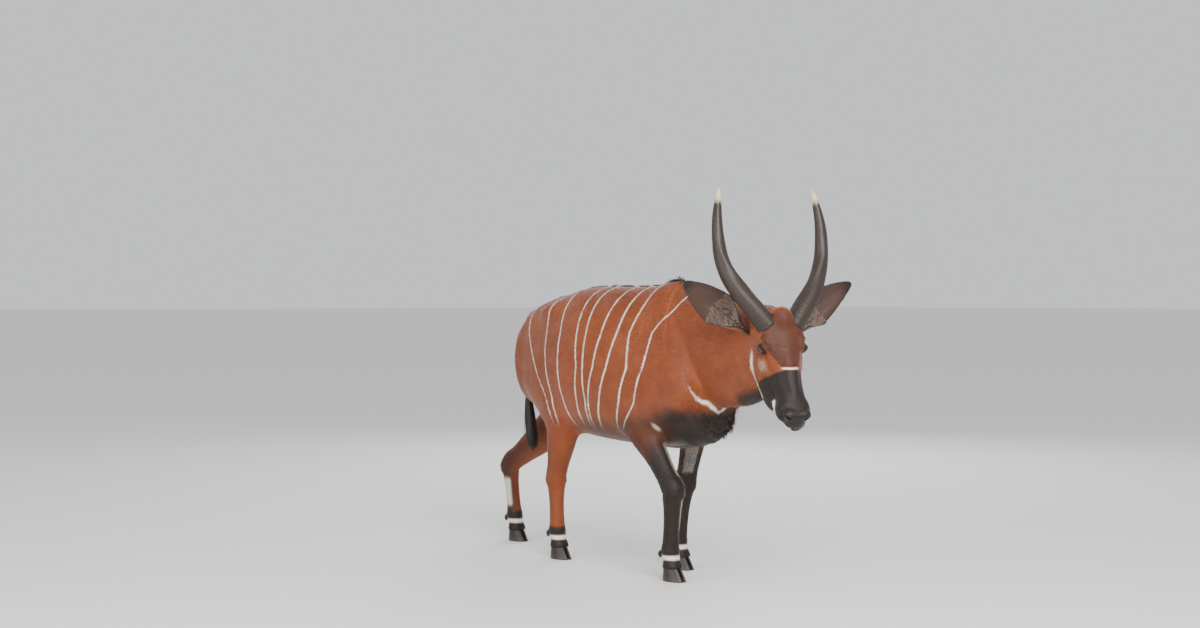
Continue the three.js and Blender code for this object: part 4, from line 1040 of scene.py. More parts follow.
class Markings:
    """Where the coat is white, dark, bare or striped; the dark mask also holds painted shade under the throat and jaw
    and between the thighs.
    """

    HEIGHTS = (620.0, 750.0, 900.0, 1050.0, 1200.0)
    # each stripe's place along the body at those heights, from the shoulder back
    STRIPES = (
        (-215, -115, -66, -38, 70),
        (-262, -195, -142, -154, -130),
        (-372, -306, -250, -220, -214),
        (-422, -374, -330, -308, -306),
        (-440, -392, -395, -404, -430),
        (-488, -454, -437, -468, -500),
        (-560, -560, -580, -596, -655),
        (-640, -645, -692, -730, -745),
        (-664, -692, -795, -915, -960),
    )

    def _stripes(self, p: Array) -> tuple[Array, Array, Array]:
        """The stripes as a rising number, the room between them, and how clearly they show.

        Args:
            p: points.

        Returns:
            Phase, spacing and strength. A stripe runs where the phase is whole.
        """
        left = p[:, 1] > 0
        wander = np.where(left, 9.0 * np.sin(p[:, 2] / 90.0 + p[:, 0] / 60.0), 0.0)
        x = p[:, 0] + wander * ramp(0, 60, np.abs(p[:, 1]))
        z = np.clip(p[:, 2], self.HEIGHTS[0] - 60, self.HEIGHTS[-1] + 90)
        xs = []
        for row in self.STRIPES:
            inner = np.interp(z, self.HEIGHTS, row)
            inner += (z - self.HEIGHTS[-1]) * (z > self.HEIGHTS[-1]) * (row[-1] - row[-2]) / 150.0
            inner += (z - self.HEIGHTS[0]) * (z < self.HEIGHTS[0]) * (row[1] - row[0]) / 130.0
            xs.append(inner)
        at = np.stack([xs[0] + 260, *xs, xs[-1] - 260], 1)
        index = np.clip((x[:, None] < at).sum(1), 1, at.shape[1] - 1)
        pick = np.arange(len(p))
        ahead, behind = at[pick, index - 1], at[pick, index]
        gap = np.maximum(ahead - behind, 6.0)
        phase = index - 1 + np.clip((ahead - x) / gap, 0, 1)
        clear = ramp(610, 700, p[:, 2]) * ramp(0.45, 0.75, phase) * ramp(9.55, 9.25, phase)
        return phase, gap, clear * ramp(300, 240, p[:, 0])

    def _trunk_dark(self, p: Array) -> Array:
        """How dark the coat of body and legs is, with painted shade under the throat and between the thighs.

        Args:
            p: points.

        Returns:
            Numbers from 0, chestnut, to 1, near black.
        """
        x, y, z = p.T
        edge = 672 + 62 * ramp(-300, 40, x) - 50 * ramp(-480, -640, x)
        edge = edge + 8 * np.sin(x / 37.0) + 5 * np.sin(x / 13.0 + 1.0)
        belly = ramp(edge + 52, edge - 56, z) * (0.6 + 0.4 * ramp(-60, 110, x - 0.5 * (z - 640)))
        rear = ramp(-520, -620, x)
        thigh = rear * ramp(560, 470, z) * 0.2
        fore = ramp(680, 540, z) * (1 - rear) * 0.55
        # Under the throat the coat is darkened partly for dark hair and partly as painted shade.
        throat = ramp(310, 385, x) * ramp(850 + 0.3 * (x - 400), 780 + 0.3 * (x - 400), z)
        neck = 0.2 * ramp(-40, 260, x) * ramp(1180, 820, z)
        # Painted shade between the hind thighs, darkest at the midline.
        shade_between_thighs = rear * hump(0, 60, y) * ramp(760, 640, z) * 0.8
        return np.clip(np.maximum.reduce([belly * (1 - rear), thigh, fore, 0.85 * throat, neck, shade_between_thighs]), 0, 1)

    def _leg_white(self, p: Array) -> tuple[Array, Array]:
        """White places on legs and elbow, and the black of the cannons' fronts.

        Args:
            p: points.

        Returns:
            White and dark masks.
        """
        x, y, z = p.T
        white, dark = np.zeros(len(p)), np.zeros(len(p))
        for leg in LEGS:
            knots = [-leg.top[1], -leg.joint[1], -leg.fetlock[1], 0]
            mid_x = np.interp(-z, knots, [leg.top[0], leg.joint[0], leg.fetlock[0], leg.foot[0]])
            mid_y = leg.side * np.interp(-z, knots, [*leg.out, leg.out[2]])
            near = (np.abs(x - mid_x) < 120) & (np.abs(y - mid_y) < 95) & (z < leg.top[1] + 20)
            front = (x - mid_x) / 36
            inward = -(y - mid_y) * leg.side / 30
            top, above_foot = leg.joint[1], ramp(150, 190, z)
            if leg.fore:
                edge_line = ramp(0.1, 0.5, front) * ramp(0.0, 0.35, inward) * ramp(610, 560, z)
                inner = ramp(0.1, 0.8, inward) * ramp(600, 540, z)
                band = ramp(top + 30, top + 70, z) * np.maximum(0.2 * inner, 0.42 * edge_line)
                below = ramp(0.3, 0.9, inward - 0.3 * front) * above_foot * ramp(top - 30, top - 70, z)
                shade = near * ramp(-0.4, 0.6, front + 0.3 * inward) * ramp(600, 480, z)
            else:
                band = 0.7 * hump(top - 40, 34, z) * ramp(-0.3, -0.9, front)
                below = ramp(0.1, 0.8, inward - 0.5 * front) * above_foot * ramp(top - 40, top - 80, z)
                shade = near * 0.42 * ramp(0.3, -0.8, front) * hump(top + 70, 110, z)
            garter = hump(99, 11, z) * ramp(-0.9, -0.2, front + 0.4)
            dark = np.maximum.reduce([dark, shade, near * ramp(165, 135, z) * 0.9])
            white = np.maximum(white, near * np.maximum.reduce([0.8 * band, 0.6 * below, 0.9 * garter]))
        elbow = hump(-30, 14, x) * hump(650, 22, z) * (np.abs(y) > 100)
        return np.maximum(white, 0.6 * elbow), dark

    def _crescent(self, p: Array) -> Array:
        """The white crescent across the chest.

        Args:
            p: points.

        Returns:
            A white mask.
        """
        reach = np.abs(p[:, 1])
        height = np.interp(reach, (0, 15, 36, 72, 126, 157, 169, 180), (712, 721, 738, 760, 780, 807, 831, 862))
        half = np.interp(reach, (0, 60, 120, 169), (6, 7, 7, 4))
        clear = np.interp(reach, (0, 30, 120, 165, 178), (0.55, 0.85, 0.85, 0.6, 0))
        near = ramp(110, 160, p[:, 0]) * clear
        return 0.9 * near * ramp(half + 9, half - 4, np.abs(p[:, 2] - height - 2 * np.sin(reach / 8)))

    def _head(self, p: Array) -> tuple[Array, Array, Array, Array]:
        """Masks of the face.

        Args:
            p: points.

        Returns:
            Where the head is, and its white, dark and bare masks; the dark mask under the jaw is partly painted shade.
        """
        x, y, z = HEAD.into(p).T
        y = np.abs(y)
        here = ramp(-150, -95, x) * (y < 160) * (z > -215) * (z < 150) * (p[:, 0] > 430)
        start = np.interp(z, (-160, -78, -43, 4, 35), (84, 84, 103, 108, 119)) + 2.5 * np.sin(y / 7.0 + z / 9.0)
        muzzle = ramp(start - 9, start + 9, x)
        end = np.interp(y, (0, 15, 36, 55, 66, 92), (108, 106, 96, 52, 32, 20))
        forehead = ramp(end + 6, end - 6, x) * ramp(6, 20, z + 0.3 * np.minimum(x, 0))
        forehead = forehead * ramp(-170, -120, x)
        rim = hump(0, 6, x - end + 5) * ramp(74, 60, y) * ramp(4, 14, z)
        dark = np.maximum.reduce([muzzle, 0.62 * forehead, 0.8 * rim])
        bar = 0.75 * ramp(7.5, 1.5, np.abs(x - end - 8)) * ramp(48, 26, y) * (z > 0)
        xs, zs = zip(*FaceDetail.MOUTH)
        lip = np.interp(x, xs, zs)
        lips = ramp(186, 206, x) * ramp(15, 5, np.abs(z - lip + 3)) * ramp(14, 26, y)
        chin = ramp(216, 238, x) * ramp(lip - 2, lip - 10, z)
        line = np.interp(x, (-60, 0, 60, 110, 160), (-70, -124, -152, -152, -130))
        jaw = hump(0, 16.0, z - line) * ramp(34, 52, y)
        jaw = jaw * ramp(-70, -20, x) * ramp(160, 138, x)
        cheek = 0.34 * np.exp(-(((x - 46) / 44) ** 2 + ((z + 52) / 36) ** 2)) * (y > 50)
        spot = 0.4 * ramp(14, 5, np.hypot(x - 60, z + 58)) * (y > 50)
        white = np.maximum.reduce([bar, 0.85 * lips, 0.85 * chin, 0.8 * jaw, cheek, spot])
        bare = ramp(290, 299, x + 0.12 * (z + 20)) * ramp(-60, -52, z) * ramp(52, 44, y)
        eye = np.hypot(x - EYE_PLACE[0] - 3, z - EYE_PLACE[2])
        dark = np.maximum(dark * (1 - white), 0.9 * ramp(25, 20, eye) * (y > 60))
        # Under the jaw the coat is darkened partly for dark hair and partly as painted shade.
        under = ramp(-120, -165, z) * ramp(-80, -20, x) * ramp(200, 150, x) * ramp(66, 44, y)
        return here, white * (1 - bare), np.maximum(dark, 0.75 * under * (1 - white)), bare

    def at(self, p: Array) -> Attributes:
        """Every mask at once.

        Args:
            p: points.

        Returns:
            One array for each mask's name.
        """
        phase, gap, clear = self._stripes(p)
        white, leg_dark = self._leg_white(p)
        # The dark mask: black hair, and painted shade under the throat and jaw and between the thighs.
        dark = np.maximum(self._trunk_dark(p), leg_dark)
        here, head_white, head_dark, bare = self._head(p)
        white = np.maximum(white, self._crescent(p))
        white = white * (1 - here) + head_white * here
        dark = dark * (1 - here) + head_dark * here
        return {
            "stripe_phase": phase,
            "stripe_gap": gap,
            "stripe_clear": clear * (1 - here),
            "white": np.clip(white, 0, 1),
            "dark": np.clip(dark, 0, 1),
            "bare": np.clip(bare * here, 0, 1),
            "limb": ramp(620, 480, p[:, 2]),
        }


class Lie:
    """Which way the coat lies."""

    def at(self, p: Array, normal: Array) -> Array:
        """The direction from root to tip.

        Args:
            p: points.
            normal: the skin's normals there.

        Returns:
            Unit vectors along the skin.
        """
        x, z = p[:, :1], p[:, 2:]
        local = HEAD.into(p)
        side = np.sign(p[:, 1:2])
        flank = ramp(1240, 900, z)
        body = np.array([[-1.0, 0.0, 0.0]]) + flank * np.array([[0.0, 0.0, -0.55]])
        body = body + side * np.array([[0.0, 0.25, 0.0]])
        spread = np.sign(local[:, 1:2]) * HEAD.axes[:, 1][None, :] * 0.3
        head = ramp(-150, -60, local[:, :1]) * ramp(480, 560, x)
        stem = ramp(-1080, -1110, x) * ramp(600, 660, z)
        for share, way in (
            (ramp(-860, -1060, x), [[-0.55, 0.0, -1.0]]),
            (ramp(700, 520, z), [[-0.18, 0.0, -1.0]]),
            (head, (HEAD.axes @ np.array([-1.0, 0.0, -0.12]))[None, :] + spread),
            (stem, [[0.0, 0.0, -1.0]]),
        ):
            body = body * (1 - share) + np.array(way) * share
        return across_to(body, normal)


@dataclass
class Surface:
    """A mesh on its way to Blender, in millimetres, with what its shader reads."""

    name: str
    points: Array
    triangles: Array
    attributes: Attributes = field(default_factory=dict)
    uv: Array | None = None
    normals: Array | None = None

    def to_object(self, shift: Array, material: Material) -> Object:
        """Makes the Blender object.

        Args:
            shift: what is added to the points to put them in the model's frame.
            material: its finish.

        Returns:
            An object at the origin with its place in the mesh.
        """
        mesh = bpy.data.meshes.new(self.name)
        count = len(self.triangles)
        mesh.vertices.add(len(self.points))
        mesh.vertices.foreach_set("co", ((self.points + shift) / METRE).astype(np.float32).ravel())
        mesh.loops.add(3 * count)
        mesh.loops.foreach_set("vertex_index", self.triangles.astype(np.int32).ravel())
        mesh.polygons.add(count)
        mesh.polygons.foreach_set("loop_start", np.arange(0, 3 * count, 3, dtype=np.int32))
        mesh.polygons.foreach_set("use_smooth", np.ones(count, bool))
        mesh.update(calc_edges=True)
        for name, values in self.attributes.items():
            mesh.attributes.new(name, "FLOAT", "POINT").data.foreach_set("value", values.astype(np.float32))
        if self.uv is not None:
            layer = mesh.uv_layers.new(name=BAKE_MAP)
            layer.uv.foreach_set("vector", self.uv[self.triangles.ravel()].astype(np.float32).ravel())
        if self.normals is not None:
            mesh.normals_split_custom_set_from_vertices(self.normals.astype(np.float32))
        mesh.materials.append(material)
        log.info("%s: %d points, %d triangles", self.name, len(self.points), count)
        return add_object(self.name, mesh)


@dataclass(frozen=True)
class Growth:
    """What a patch of coat is made of: roots, the way they point and their sizes, one of each a tuft."""

    roots: Array
    normals: Array
    ways: Array
    lengths: Array
    widths: Array
    lifts: Array  # how far the tip stands off the skin
    uv: Array


@dataclass(frozen=True)
class Tufts:
    """Joins many thin tapered blades into one mesh."""

    rings: tuple[tuple[float, float], ...] = ((0.0, 0.9), (0.5, 1.0))  # how far along each ring is, and how wide there
    patch: float = 0.003  # a blade's size on the bake's map
    sink: float = 1.0  # how deep the root stands in the skin
    thick: float = 0.32  # of the width

    def spread(self, values: Array) -> Array:
        """One value a tuft, repeated for all of its points."""
        return np.repeat(values, 3 * len(self.rings) + 1)

    def _faces(self) -> Array:
        """The triangles of one blade."""
        faces = [[0, 1, 2]]
        last = 3 * (len(self.rings) - 1)
        for ring, n in product(range(0, last, 3), range(3)):
            a, b = ring + n, ring + (n + 1) % 3
            faces += [[a, b + 3, b], [a, a + 3, b + 3]]
        faces += [[last + n, last + 3, last + (n + 1) % 3] for n in range(3)]
        return np.array(faces)

    def build(self, name: str, growth: Growth, curl: Array | None = None, soft: float = 0.75) -> Surface:
        """Makes the mesh.

        Args:
            name: the piece's name.
            growth: its tufts.
            curl: for each tuft, how its tip swings away from its first way.
            soft: how far the shading follows the skin rather than each blade.

        Returns:
            The surface, with the place along each blade as an attribute.
        """
        g, count = growth, len(growth.roots)
        side = np.cross(g.normals, g.ways)
        points, along, patch, facing = [], [], [], []
        curl = np.zeros((count, 3)) if curl is None else curl
        for share, wide in self.rings:
            lift = g.lifts * share**0.8 - self.sink * (share == 0)
            centre = g.roots + g.ways * (g.lengths * share)[:, None] + g.normals * lift[:, None]
            centre += curl * (g.lengths * share**2)[:, None]
            half = (g.widths * wide / 2)[:, None]
            top = g.normals * (g.widths * wide * self.thick)[:, None]
            for a, b in ((1, 0), (-1, 0), (0, 1)):
                points.append(centre + side * half * a + top * b)
                along.append(np.full(count, share))
                patch.append([a * wide / 2, share])
                facing.append(side * a * 0.6 + g.normals * (0.2 + 0.8 * b))
        tip = g.roots + g.ways * g.lengths[:, None] + g.normals * g.lifts[:, None] + curl * g.lengths[:, None]
        points.append(tip)
        along.append(np.ones(count))
        patch.append([0, 1])
        facing.append(g.ways * 0.4 + g.normals)
        corners = np.stack(points, 1).reshape(-1, 3)
        faces = (self._faces()[None] + len(points) * np.arange(count)[:, None, None]).reshape(-1, 3)
        uv = (np.clip(g.uv, 0.002, 0.995)[:, None] + self.patch * np.array(patch)[None]).reshape(-1, 2)
        normals = unit(np.stack(facing, 1) * (1 - soft) + g.normals[:, None] * soft).reshape(-1, 3)
        return Surface(name, corners, faces, {"along": np.stack(along, 1).ravel()}, uv, normals)


class Coat:
    """Grows the short coat on the skin, in pieces."""

    LIMIT = 19900  # tufts in a piece, which keeps it under 200,000 triangles
    # how many times over the tufts would cover the skin
    COVER = {
        "head": 0.72,
        "neck": 0.9,
        "shoulder": 0.95,
        "barrel": 0.95,
        "rump": 0.86,
        "forelegs": 0.68,
        "hindlegs": 0.72,
    }
    # where the parts of the body begin and end along it
    SPANS = {"neck": (-60, 700), "shoulder": (-250, 200), "barrel": (-630, -230), "rump": (-1330, -610)}
    BARE_ROUND_EYE = 1.2

    def __init__(self, mesh: Mesh3, markings: Markings, lie: Lie) -> None:
        """Keeps the skin and measures its triangles.

        Args:
            mesh: the finished skin.
            markings: the coat's colours.
            lie: the way it lies.
        """
        self.mesh, self.markings, self.lie = mesh, markings, lie
        a, b, c = mesh.corners()
        self.area = np.linalg.norm(np.cross(b - a, c - a), axis=1) / 2
        self.middle = (a + b + c) / 3
        self.normal = mesh.normals()

    @staticmethod
    def sizes(p: Array) -> tuple[Array, Array]:
        """Length and width of the tufts at a place.

        Args:
            p: points.

        Returns:
            Lengths and widths in millimetres.
        """
        x, y, z = HEAD.into(p).T
        head = ramp(-190, -40, x) * ramp(430, 560, p[:, 0])
        muzzle = ramp(120, 270, x) * head
        leg = ramp(640, 480, p[:, 2])
        foot = ramp(260, 120, p[:, 2])
        length = 21.0 - 9.0 * leg - 2.0 * foot
        length = length * (1 - head) + (9.0 - 4.2 * muzzle) * head
        length *= 0.45 + 0.55 * ramp(24, 60, from_eye(x, np.abs(y), z))
        return length, 0.95 + 0.1 * length

    def zones(self) -> dict[str, Array]:
        """Which triangles belong to which piece."""
        x, y, z = self.middle.T
        along, across, _ = HEAD.into(self.middle).T
        head = (along > -118) & (x > 430)
        leg = ~head & (z < 560) & (x < 330)
        neck = ~head & ~leg & (0.93 * (x - 60) + 0.37 * (z - 1000) > 0)
        trunk = ~head & ~leg & ~neck
        hind = x < -620
        mid = ~hind & (x < -240)
        zones = {}
        for name, side, face in (("left", y > 0, across > 0), ("right", ~(y > 0), -across > 0)):
            zones[f"coat_head_{name}"] = head & face
            zones[f"coat_neck_{name}"] = neck & side
            zones[f"coat_shoulder_{name}"] = trunk & ~hind & ~mid & side
            zones[f"coat_barrel_{name}"] = trunk & mid & side
            zones[f"coat_rump_{name}"] = trunk & hind & side
        return zones | {"coat_forelegs": leg & (x > -500), "coat_hindlegs": leg & (x <= -500)}

    def chart(self, name: str, p: Array) -> Array:
        """The roots' places on an unwrap of the skin: round and along the part they grow on.

        Args:
            name: the piece's name.
            p: roots, one a row.

        Returns:
            Places from 0 to 1.
        """
        part = name.split("_")[1]
        if part == "head":
            x, y, z = HEAD.into(p).T
            return np.stack([(x + 150) / 500, np.arctan2(z + 60, np.abs(y)) / math.pi + 0.5], 1)
        if part in self.SPANS:
            low, high = self.SPANS[part]
            turn = np.arctan2(p[:, 2] - 860, np.abs(p[:, 1]) + 1e-6)
            return np.stack([(p[:, 0] - low) / (high - low), turn / math.pi + 0.5], 1)
        out = np.zeros((len(p), 2))
        for column, leg in enumerate(leg for leg in LEGS if leg.fore == (part == "forelegs")):
            knots = [leg.fetlock[1], leg.joint[1], leg.top[1]]
            x = np.interp(p[:, 2], knots, [leg.fetlock[0], leg.joint[0], leg.top[0]])
            y = leg.side * np.interp(p[:, 2], knots, leg.out[::-1])
            mine = p[:, 1] * leg.side > 0
            turn = np.arctan2(p[:, 1] - y, p[:, 0] - x) / (2 * math.pi) + 0.5
            out[mine] = np.stack([(column + 0.01 + 0.97 * turn) / 2, p[:, 2] / 570], 1)[mine]
        return out

    def grow(self, name: str, zone: Array, seed: int) -> Surface:
        """One piece of coat.

        Args:
            name: its name.
            zone: which triangles it grows on.
            seed: of its random numbers.

        Returns:
            The piece's surface with its markings.
        """
        random = np.random.default_rng(seed)
        chosen = np.flatnonzero(zone)
        length, width = self.sizes(self.middle[chosen])
        wanted = self.area[chosen] * self.COVER[name.split("_")[1]] / (length * width * 0.6)
        wanted *= min(1.0, self.LIMIT / wanted.sum())
        number = np.floor(wanted + random.random(len(chosen))).astype(int)
        triangle = np.repeat(chosen, number)
        triangle = triangle[random.permutation(len(triangle))[: self.LIMIT]]
        a, b = random.random((2, len(triangle)))
        over = a + b > 1
        a, b = np.where(over, 1 - a, a), np.where(over, 1 - b, b)
        weights = np.stack([1 - a - b, a, b], 1)[:, :, None]
        corners = self.mesh.triangles[triangle]
        roots = (self.mesh.points[corners] * weights).sum(1)
        normals = unit((self.normal[corners] * weights).sum(1))
        furred = self.markings.at(roots)["bare"] < 0.5
        eyes = np.min([np.linalg.norm(roots - HEAD.out(EyeSeat(s).centre), axis=1) for s in (1, -1)], axis=0)
        keep = furred & (eyes > EYE_RADIUS + self.BARE_ROUND_EYE)
        roots, normals = roots[keep], normals[keep]
        tufts = Tufts()
        surface = tufts.build(name, self._growth(name, roots, normals, random))
        surface.attributes |= self.markings.at(surface.points)
        surface.attributes["tone"] = tufts.spread(random.random(len(roots)))
        return surface

    def _growth(self, name: str, roots: Array, normals: Array, random: Random) -> Growth:
        """Directions and sizes of one piece's tufts.

        Args:
            name: the piece's name.
            roots: where they stand.
            normals: the skin's normals there.
            random: the piece's random numbers.

        Returns:
            The growth.
        """
        count = len(roots)
        length, width = self.sizes(roots)
        length = length * random.uniform(0.75, 1.25, count)
        width = width * random.uniform(0.75, 1.25, count)
        way = self.lie.at(roots, normals)
        side = np.cross(normals, way)
        swirl = np.sin(roots @ [0.021, 0.034, 0.027] + 2 * np.sin(roots[:, 2] / 70))
        swing = random.normal(0, 0.13, count) + 0.16 * swirl
        way = unit(way + side * swing[:, None])
        lift = 0.9 + 0.055 * length * random.uniform(0.3, 1.6, count)
        lift = lift + 0.03 * length * (random.random(count) < 0.08)
        return Growth(roots, normals, way, length, width, lift, self.chart(name, roots))


@dataclass(frozen=True)
class Spline:
    """A smooth path through places, with even steps and frames that don't twist."""

    places: tuple[tuple[float, ...], ...]

    def _dense(self) -> Array:
        """Many points of the path, by the same rule as the solids' source uses."""
        p = np.array(self.places)
        p = np.vstack([2 * p[0] - p[1], p, 2 * p[-1] - p[-2]])
        out = []
        for a, b, c, d in zip(p, p[1:], p[2:], p[3:]):
            t = np.cumsum([0.0] + [max(np.linalg.norm(q - r) ** 0.5, 1e-4) for q, r in ((b, a), (c, b), (d, c))])
            u = np.linspace(t[1], t[2], 60, endpoint=False)[:, None]
            a1 = (t[1] - u) / (t[1] - t[0]) * a + (u - t[0]) / (t[1] - t[0]) * b
            a2 = (t[2] - u) / (t[2] - t[1]) * b + (u - t[1]) / (t[2] - t[1]) * c
            a3 = (t[3] - u) / (t[3] - t[2]) * c + (u - t[2]) / (t[3] - t[2]) * d
            b1 = (t[2] - u) / (t[2] - t[0]) * a1 + (u - t[0]) / (t[2] - t[0]) * a2
            b2 = (t[3] - u) / (t[3] - t[1]) * a2 + (u - t[1]) / (t[3] - t[1]) * a3
            out.append((t[2] - u) / (t[2] - t[1]) * b1 + (u - t[1]) / (t[2] - t[1]) * b2)
        return np.vstack([*out, p[-2][None]])

    def even(self, shares: Array) -> Array:
        """Points at shares of the path's length.

        Args:
            shares: from 0 to 1.

        Returns:
            One point a row.
        """
        dense = self._dense()
        run = np.concatenate([[0], np.cumsum(np.linalg.norm(np.diff(dense, axis=0), axis=1))])
        return np.stack([np.interp(shares * run[-1], run, dense[:, n]) for n in range(3)], 1)

    @property
    def length(self) -> float:
        """The path's length."""
        return float(np.linalg.norm(np.diff(self._dense(), axis=0), axis=1).sum())

    def frames(self, shares: Array) -> tuple[Array, Array, Array]:
        """Points, and normals and binormals carried along the path without twisting.

        Args:
            shares: from 0 to 1.

        Returns:
            Points, normals and binormals.
        """
        points = self.even(shares)
        tangent = unit(np.gradient(points, axis=0))
        least = np.eye(3)[np.abs(tangent[0]).argmin()]
        normal = [np.cross(tangent[0], unit(np.cross(tangent[0], least)))]
        for t in tangent[1:]:
            normal.append(unit(normal[-1] - (normal[-1] @ t) * t))
        normals = np.array(normal)
        return points, normals, np.cross(tangent, normals)


def tube(rings: Array) -> Array:
    """The triangles of a closed tube.

    Args:
        rings: an array of rings by points round each, with a start and an end point after them all.

    Returns:
        Triangles for the rings' points in order, then the start, then the end.
    """
    count, around = rings.shape[:2]
    n = np.arange(around)
    after = (n + 1) % around
    faces = [np.stack([np.full(around, count * around), after, n], 1)]
    for ring in range(count - 1):
        a, b = ring * around + n, ring * around + after
        faces += [np.stack([a, b, b + around], 1), np.stack([a, b + around, a + around], 1)]
    top = (count - 1) * around
    faces.append(np.stack([top + n, top + after, np.full(around, count * around + 1)], 1))
    return np.vstack(faces)


def outwards(points: Array, triangles: Array) -> Array:
    """Turns a closed mesh's triangles to face out."""
    a, b, c = (points[triangles[:, n]] - points.mean(0) for n in range(3))
    return triangles if np.sum(np.cross(a, b) * c) > 0 else triangles[:, ::-1]


@dataclass(frozen=True)
class Horn:
    """One spiral horn with a keel, growth rings at its root and a pale tip."""

    side: int
    radius: float = 48.0
    length: float = 600.0
    keel_turns: float = 0.9
    growth_rings: int = 36
    ridge: float = 1.3
    rings: int = 170
    around: int = 48
    path: Spline = Spline(
        (
            (-22, 52, 84),
            (-40, 97, 146),
            (-66, 150, 214),
            (-99, 191, 286),
            (-121, 215, 360),
            (-137, 223, 440),
            (-152, 222, 520),
            (-184, 204, 650),
        )
    )

    def build(self, name: str) -> Surface:
        """Makes the horn, rooted a little way inside the skull.

        Args:
            name: the piece's name.

        Returns:
            Its surface with the place along it.
        """
        s = self.side
        path = Spline(tuple((x, y * s, z) for x, y, z in self.path.places))
        stretch = self.length / path.length
        share = np.linspace(0, 1, self.rings) ** 0.97 * 0.996
        centre, normal, binormal = path.frames(share)
        angle = 2 * math.pi * np.arange(self.around) / self.around * s
        turn, left, round_ = self.keel_turns * 2 * math.pi * share[:, None], 1 - share[:, None], angle[None]
        keel = np.maximum(np.cos(round_ - s * turn), 0) ** 7
        hollow = np.maximum(-np.cos(round_ - s * (turn + 0.9)), 0) ** 3
        radius = (self.radius * stretch * np.sqrt(1 - share) + 1.5) * (1 - 0.5 * ramp(0.97, 1.0, share))
        radius = radius[:, None] * (0.93 + 0.2 * keel * left - 0.05 * hollow * left)
        worn = ramp(0.42, 0.08, share)[:, None]
        ring_at = share * self.growth_rings + 0.25 * np.sin(share * 60)
        ridge = np.abs(np.sin(math.pi * ring_at))[:, None] ** 0.6
        radius = radius + worn * self.ridge * ridge * (0.7 + 0.3 * np.sin(3 * angle))[None]
        radius = radius + 0.35 * np.sin(round_ * 17 + 9 * share[:, None]) * left
        across = np.cos(angle)[None, :, None] * normal[:, None] + np.sin(angle)[None, :, None] * binormal[:, None]
        rings = centre[:, None] + radius[..., None] * across
        points = LEVEL_HEAD.out(np.vstack([rings.reshape(-1, 3), path.even(np.array([0.0, 1.0]))]))
        along = np.concatenate([np.repeat(share, self.around), [0, 1]])
        return Surface(name, points, outwards(points, tube(rings)), {"horn_along": along})


@dataclass(frozen=True)
class Hoof:
    """One toe's hoof, with its sole on the ground."""

    leg: Leg
    which: int
    around: int = 40
    levels: int = 22

    def build(self, name: str) -> Surface:
        """Makes the hoof.

        Args:
            name: the piece's name.

        Returns:
            Its surface with its height.
        """
        leg = self.leg
        slant = leg.foot[0] - leg.fetlock[0]
        top = CORONET - 0.3
        share = np.concatenate([[0, 0.015, 0.05], np.linspace(0.1, 1, self.levels - 3)])
        height = share * top
        sole = 1 - share
        wall = np.interp(share, (0, 0.015, 0.05, 1), (0.93, 0.975, 1, 1))
        back = leg.fetlock[0] + 0.62 * slant - 34 - 2 * sole
        front = leg.fetlock[0] + 0.62 * slant + 38 + 38 * sole**0.92
        ring = 0.35 * np.sin(share * 60) * ramp(0.1, 0.3, share)
        half = (31 + 8 * sole) * wall + ring
        angle = 2 * math.pi * np.arange(self.around) / self.around
        along = (np.cos(angle)[None] + 1) / 2
        taper = 1 - 0.42 * along**2
        x = back[:, None] + (front - back)[:, None] * (along * wall[:, None] + (1 - wall[:, None]) / 2)
        bow = np.maximum(np.sin(angle), 0)[None] ** 0.8 * half[:, None] * taper
        inner = np.minimum(np.sin(angle), 0)[None] * 2.5
        y = leg.out[2] * leg.side + self.which * (6.5 + bow + inner)
        z = np.repeat(height[:, None], self.around, 1)
        rings = np.stack([x, y, z], 2)
        middle = np.array([[leg.fetlock[0] + 0.62 * slant + 10, leg.out[2] * leg.side + self.which * 20, 0.0]])
        points = np.vstack([rings.reshape(-1, 3), middle, middle + [[-10, 0, top]]])
        return Surface(name, points, outwards(points, tube(rings)), {"hoof_up": points[:, 2] / CORONET})


@dataclass(frozen=True)
class EyeBall:
    """An eyeball with a slightly raised cornea; its shader draws iris and pupil from the place on it."""

    seat: EyeSeat
    rings: int = 40
    around: int = 56

    def build(self, name: str) -> Surface:
        """Makes the eyeball with its pole looking out.

        Args:
            name: the piece's name.

        Returns:
            Its surface with places along, up and out of the eye.
        """
        angle = np.linspace(0, math.pi, self.rings + 2)[1:-1]
        turn = 2 * math.pi * np.arange(self.around) / self.around
        radius = EYE_RADIUS + 0.9 * ramp(0.95, 0.35, angle)
        ring = radius[:, None, None] * np.stack(
            [
                np.sin(angle)[:, None] * np.cos(turn)[None],
                np.sin(angle)[:, None] * np.sin(turn)[None],
                np.repeat(np.cos(angle)[:, None], self.around, 1),
            ],
            2,
        )
        poles = np.array([[0, 0, EYE_RADIUS + 0.9], [0, 0, -EYE_RADIUS]])
        local = np.vstack([ring.reshape(-1, 3), poles])
        points = HEAD.out(self.seat.centre + local @ self.seat.axes)
        places = {"eye_along": local[:, 0], "eye_up": local[:, 1] + 2.0, "eye_out": local[:, 2]}
        return Surface(name, points, outwards(points, tube(ring)), places)


